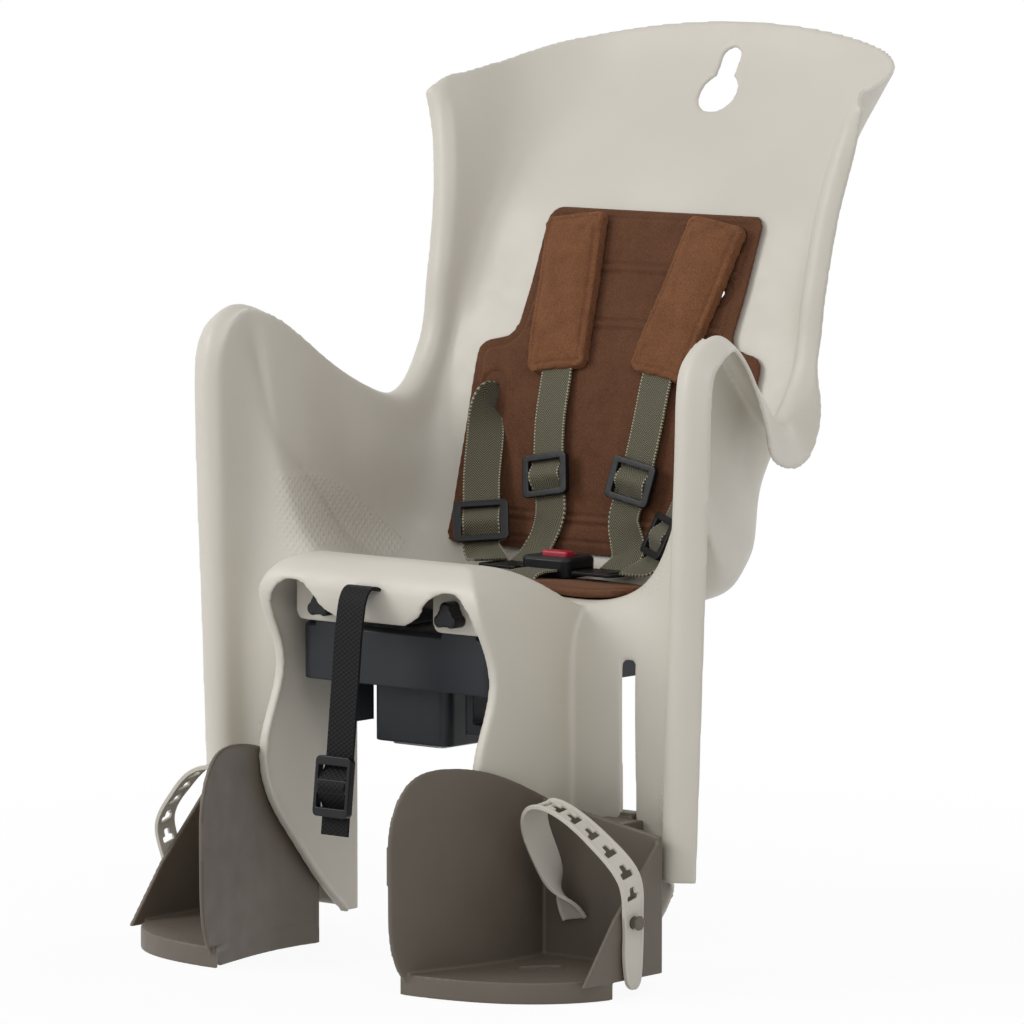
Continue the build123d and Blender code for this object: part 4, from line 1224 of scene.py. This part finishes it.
@dataclass
class FootStrap:
    """Rubber strap over the foot with raised rims, a row of T-shaped holes and a round one on the peg.

    Each part of a T-shaped hole has its shift along the strap, its width and its length.
    """

    side: Side
    width_mm: float = 21.0
    thick_mm: float = 2.4
    rim_mm: float = 2.2
    rim_rise_mm: float = 0.8
    holes: int = 7
    first: float = 3.3
    last: float = 6.35
    peg_station: float = 7.0
    peg_mm: float = 4.4
    tip_mm: float = 34.0
    tip_narrow: float = 0.35
    hole_parts_mm: tuple[Triple, ...] = ((2.2, 12.0, 4.4), (-2.2, 5.4, 6.0))
    cut_mm: float = 30.0
    edges: Rounding = Rounding(0.5, 7, 26000)

    def block(self, middle_mm: Triple, size_mm: Triple) -> bpy.types.Object:
        """Adds one block of the flat strap or of a cutter.

        Args:
            middle_mm: The block's middle.
            size_mm: Its sides.

        Returns:
            The block.
        """
        bpy.ops.object.select_all(action="DESELECT")
        bpy.ops.mesh.primitive_cube_add(size=1.0, location=[v * MM for v in middle_mm])
        bpy.ops.transform.resize(value=[v * MM for v in size_mm])
        bpy.ops.object.transform_apply(location=True, rotation=True, scale=True)
        return bpy.context.object

    def cut(self, obj: bpy.types.Object, cutter: bpy.types.Object) -> None:
        """Cuts one hole and clears the cutter away.

        Args:
            obj: The flat strap.
            cutter: The shape to take out.
        """
        finish_modifier(obj, "BOOLEAN", object=cutter, operation="DIFFERENCE", solver="EXACT")
        bpy.data.objects.remove(cutter)

    def flat_strap(self, route: Route, length: float) -> bpy.types.Object:
        """Builds the strap flat: a web with two rims, holes and a narrowed tip.

        Args:
            route: The strap's route.
            length: The route's length in metres.

        Returns:
            The flat strap.
        """
        long = length / MM
        obj = self.block((0.0, long / 2, self.thick_mm / 2), (self.width_mm, long, self.thick_mm))
        for i in range(self.holes):
            station = self.first + (self.last - self.first) * i / (self.holes - 1)
            y = route.station(station) / MM
            for shift, wide, deep in self.hole_parts_mm:
                self.cut(obj, self.block((0.0, y + shift, 0.0), (wide, deep, self.cut_mm)))
        bpy.ops.object.select_all(action="DESELECT")
        bpy.ops.mesh.primitive_cylinder_add(
            vertices=28,
            radius=self.peg_mm * MM,
            depth=self.cut_mm * MM,
            location=(0.0, route.station(self.peg_station), 0.0),
        )
        self.cut(obj, bpy.context.object)
        high = self.thick_mm + self.rim_rise_mm
        rims = []
        for way in (-1, 1):
            x = way * (self.width_mm - self.rim_mm) / 2
            rims.append(self.block((x, long / 2, high / 2), (self.rim_mm, long, high)))
        pick(obj)
        for rim in rims:
            rim.select_set(True)
        bpy.ops.object.join()
        self.edges.apply(obj)
        flat = coordinates(obj)
        along = np.clip((flat[:, 1] - length + self.tip_mm * MM) / (self.tip_mm * MM), 0, 1)
        flat[:, 0] *= 1 - self.tip_narrow * along**2 - (1 - self.tip_narrow) * 0.8 * along**14
        move_to(obj, flat)
        return obj

    def build(self, shop: Workshop) -> bpy.types.Object:
        """Builds the strap flat and lays it on its route.

        Args:
            shop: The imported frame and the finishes.

        Returns:
            The new piece.
        """
        node = "foot_strap_" + self.side.word
        route = FOOT_ROUTE if self.side is Side.LEFT else FOOT_ROUTE.mirrored()
        obj = self.flat_strap(route, float(route.frames()[0][-1]))
        obj.name = obj.data.name = node + "_moulded"
        route.lay(obj)
        pick(obj)
        bpy.ops.object.mode_set(mode="EDIT")
        bpy.ops.mesh.select_all(action="SELECT")
        bpy.ops.mesh.normals_make_consistent(inside=False)
        bpy.ops.object.mode_set(mode="OBJECT")
        shop.hand_over(obj, node, "strap_rubber", STRAP_RUBBER)
        return obj


@dataclass
class Harness:
    """Straps, sleeves, slides, tongues and buckle."""

    web_mm: float = 28.0
    web_thick_mm: float = 1.6
    slide_half_mm: float = 13.0
    slide_rise_mm: float = 6.4
    shoulder_slide_at: float = 8.0
    hip_slide_at: float = 3.85
    press_mm: float = 3.3
    slide_edges: Rounding = Rounding(0.4, 5, 9000)
    tongue_edges: Rounding = Rounding(0.4, 4, 9000)
    housing_edges: Rounding = Rounding(0.5, 6)
    button_edges: Rounding = Rounding(0.4, 5, 8000)

    def build(self, shop: Workshop) -> None:
        """Builds both sides and then the middle.

        Args:
            shop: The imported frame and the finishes.
        """
        for side in Side:
            for word, route, station in (
                ("shoulder", SHOULDER_ROUTE, self.shoulder_slide_at),
                ("hip", HIP_ROUTE, self.hip_slide_at),
            ):
                laid = route if side is Side.LEFT else route.mirrored()
                over = ((station, self.slide_half_mm, self.slide_rise_mm),)
                name = word + "_strap_" + side.word
                Band(name, "webbing", OLIVE_WEB, laid, self.web_mm, self.web_thick_mm, over=over).build(shop)
                slide = word + "_slide_" + side.word
                RoundedMoulding(slide, "black_plastic", BLACK_PLASTIC, self.slide_edges).build(shop)
            ShoulderPad(node="shoulder_pad_" + side.word, side=side).build(shop)
            tongue = "buckle_tongue_" + side.word
            RoundedMoulding(tongue, "black_plastic", BLACK_PLASTIC, self.tongue_edges).build(shop)
        Band("crotch_strap", "webbing", OLIVE_WEB, CROTCH_ROUTE, self.web_mm, self.web_thick_mm).build(shop)
        RoundedMoulding("buckle_housing", "black_plastic", BLACK_PLASTIC, self.housing_edges).build(shop)
        RoundedMoulding("buckle_button", "red_plastic", RED_PLASTIC, self.button_edges).build(shop)
        self.spring(shop)

    def spring(self, shop: Workshop) -> None:
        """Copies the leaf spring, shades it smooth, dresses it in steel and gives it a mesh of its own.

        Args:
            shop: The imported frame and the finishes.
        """
        obj = twin(shop.node("buckle_spring"), "buckle_spring_leaf")
        smooth(obj, 40)
        shop.hand_over(obj, "buckle_spring", "steel", STEEL)
        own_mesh(obj)


@dataclass
class SafetyStrap:
    """Black strap for the bicycle's frame with its ladder lock."""

    width_mm: float = 25.0
    thick_mm: float = 2.0
    over: tuple[Triple, ...] = ((7.0, 18.0, 7.6),)
    lock_edges: Rounding = Rounding(0.4, 5, 12000)

    def build(self, shop: Workshop) -> None:
        """Builds the strap, threaded through its lock.

        Args:
            shop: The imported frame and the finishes.
        """
        under = -self.thick_mm / 2
        sizes = (self.width_mm, self.thick_mm, under)
        Band("frame_strap", "black_webbing", BLACK_WEB, FRAME_ROUTE, *sizes, over=self.over).build(shop)
        RoundedMoulding("ladder_lock", "black_plastic", BLACK_PLASTIC, self.lock_edges).build(shop)


@dataclass
class CarrierClamp:
    """Mount block with its plate, jaws, screws and hand knobs."""

    jaw_clear_mm: float = 0.8
    block_edges: Rounding = Rounding(0.9, 3, 70000)
    plate_edges: Rounding = Rounding(0.6, 3, 20000)
    jaw_edges: Rounding = Rounding(0.4, 3, 24000)
    screw_edges: Rounding = Rounding(0.4, 3, 14000)
    knob_edges: Rounding = Rounding(0.4, 6)

    def build(self, shop: Workshop) -> None:
        """Rounds and dresses each piece.

        Args:
            shop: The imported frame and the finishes.
        """
        RoundedMoulding("mount_block", "black_plastic", MOUNT_PLASTIC, self.block_edges).build(shop)
        RoundedMoulding("mount_plate", "steel", STEEL, self.plate_edges).build(shop)
        jaw_sizes = (self.jaw_edges, self.jaw_clear_mm)
        for side in Side:
            RoundedMoulding("jaw_" + side.word, "black_plastic", MOUNT_PLASTIC, *jaw_sizes).build(shop)
            RoundedMoulding("jaw_screw_" + side.word, "steel", STEEL, self.screw_edges).build(shop)
            RoundedMoulding("knob_" + side.word, "black_plastic", BLACK_PLASTIC, self.knob_edges).build(shop)


@dataclass
class Footrests:
    """Both footrests with their rubber straps."""

    edges: Rounding = Rounding(1.0, 5, 60000)

    def build(self, shop: Workshop) -> None:
        """Rounds the trays and lays the straps.

        Args:
            shop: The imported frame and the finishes.
        """
        for side in Side:
            name = "footrest_" + side.word
            RoundedMoulding(name, "footrest_plastic", FOOT_PLASTIC, self.edges).build(shop)
            FootStrap(side).build(shop)


SHELL_EDGES = Rounding(1.7, 8, 190000)


# Studio

@dataclass(frozen=True)
class Studio:
    """Pale floor, soft light and the camera at the photograph's angle."""

    azimuth: float = 39.8146
    elevation: float = 6.0
    place_mm: Triple = (3518.3, -4188.3, 694.6)
    lens_px: float = 7500.0
    image_px: float = 1024.0
    sensor_mm: float = 36.0
    floor_m: float = 6.0

    def camera(self) -> None:
        """Places the camera and makes it the scene's own."""
        data = bpy.data.cameras.new("photo_view")
        data.sensor_width = self.sensor_mm
        data.lens = self.lens_px / self.image_px * self.sensor_mm
        data.clip_end = 50.0
        eye = bpy.data.objects.new("photo_view", data)
        a, e = math.radians(self.azimuth), math.radians(self.elevation)
        back = Vector((math.sin(a) * math.cos(e), -math.cos(a) * math.cos(e), math.sin(e)))
        right = Vector((math.cos(a), math.sin(a), 0.0))
        turn = Matrix((right, back.cross(right), back)).transposed()
        eye.matrix_world = Matrix.Translation(Vector(self.place_mm) * MM) @ turn.to_4x4()
        bpy.context.scene.collection.objects.link(eye)
        bpy.context.scene.camera = eye

    def lamp(self, name: str, watts: float, size: float, place: Triple, aim: Triple) -> None:
        """Hangs one soft box.

        Args:
            name: The lamp's name.
            watts: Its power.
            size: Its side in metres.
            place: Where it hangs.
            aim: The point it looks at.
        """
        data = bpy.data.lights.new(name, "AREA")
        data.energy = watts
        data.size = size
        obj = bpy.data.objects.new(name, data)
        obj.location = place
        obj.rotation_euler = (Vector(aim) - Vector(place)).to_track_quat("-Z", "Y").to_euler()
        bpy.context.scene.collection.objects.link(obj)

    def world(self) -> None:
        """Gives soft light from all round, and white where the camera sees past the floor."""
        world = bpy.data.worlds.new("studio")
        bpy.context.scene.world = world
        world.use_nodes = True
        tree = world.node_tree
        tree.nodes.clear()
        soft = add(tree, "Background", {"Color": linear("#F4F6FA"), "Strength": 0.6})
        white = add(tree, "Background", {"Color": linear("#FFFFFF"), "Strength": 1.0})
        mix = add(tree, "MixShader", {
            0: seen_directly(tree),
            1: soft.outputs["Background"],
            2: white.outputs["Background"],
        })
        add(tree, "OutputWorld", {"Surface": mix.outputs["Shader"]})

    def floor(self, height: float) -> None:
        """Lays a pale floor that keeps the shadow and fades to white away from the seat.

        Args:
            height: Z of the floor.
        """
        bpy.ops.object.select_all(action="DESELECT")
        spot = (0, 0, height)
        bpy.ops.mesh.primitive_circle_add(vertices=96, radius=self.floor_m, fill_type="NGON", location=spot)
        obj = bpy.context.object
        obj.name = "studio_floor"
        bpy.ops.object.transform_apply(location=True, rotation=True, scale=True)
        material, tree = new_material("pale_studio_floor")
        place = add(tree, "TexCoord").outputs["Object"]
        reach = add(tree, "VectorMath", {0: place}, operation="LENGTH")
        fade = add(tree, "MapRange", {
            "Value": reach.outputs["Value"],
            "From Min": 0.35,
            "From Max": 1.1,
            "To Min": 0.93,
            "To Max": 1.0,
        }, interpolation_type="SMOOTHSTEP")
        matt = add(tree, "BsdfDiffuse", {"Color": linear("#F2F2F0")})
        white = add(tree, "Emission", {"Color": linear("#FFFFFF"), "Strength": 1.0})
        mix = add(tree, "MixShader", {
            0: calc(tree, "MULTIPLY", fade.outputs["Result"], seen_directly(tree)),
            1: matt.outputs["BSDF"],
            2: white.outputs["Emission"],
        })
        add(tree, "OutputMaterial", {"Surface": mix.outputs["Shader"]})
        obj.data.materials.append(material)
        obj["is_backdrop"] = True

    def build(self, height: float) -> None:
        """Sets up the whole studio.

        Args:
            height: Z of the floor.
        """
        bpy.context.scene.view_settings.view_transform = "Standard"
        self.camera()
        self.world()
        self.floor(height)
        self.lamp("key_box", 50.0, 1.6, (-2.0, -2.5, 1.9), (0.0, 0.0, 0.2))
        self.lamp("fill_box", 16.0, 1.4, (2.0, -1.9, 2.3), (0.0, 0.1, 0.25))
        self.lamp("rear_box", 12.0, 1.6, (0.8, 2.2, 1.7), (0.0, 0.0, 0.2))


def main() -> None:
    """Builds the sub-assemblies in order."""
    logging.basicConfig(level=logging.INFO, format="%(message)s")
    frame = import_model()
    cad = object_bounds()
    bpy.ops.object.select_all(action="DESELECT")
    shop = Workshop(frame, Wardrobe())
    Studio().build(float(cad[0][2]))
    RoundedMoulding("seat_shell", "shell_plastic", SHELL, SHELL_EDGES).build(shop)
    BackPad().build(shop)
    SeatPad().build(shop)
    Harness().build(shop)
    SafetyStrap().build(shop)
    CarrierClamp().build(shop)
    Footrests().build(shop)


if __name__ == "__main__":
    main()
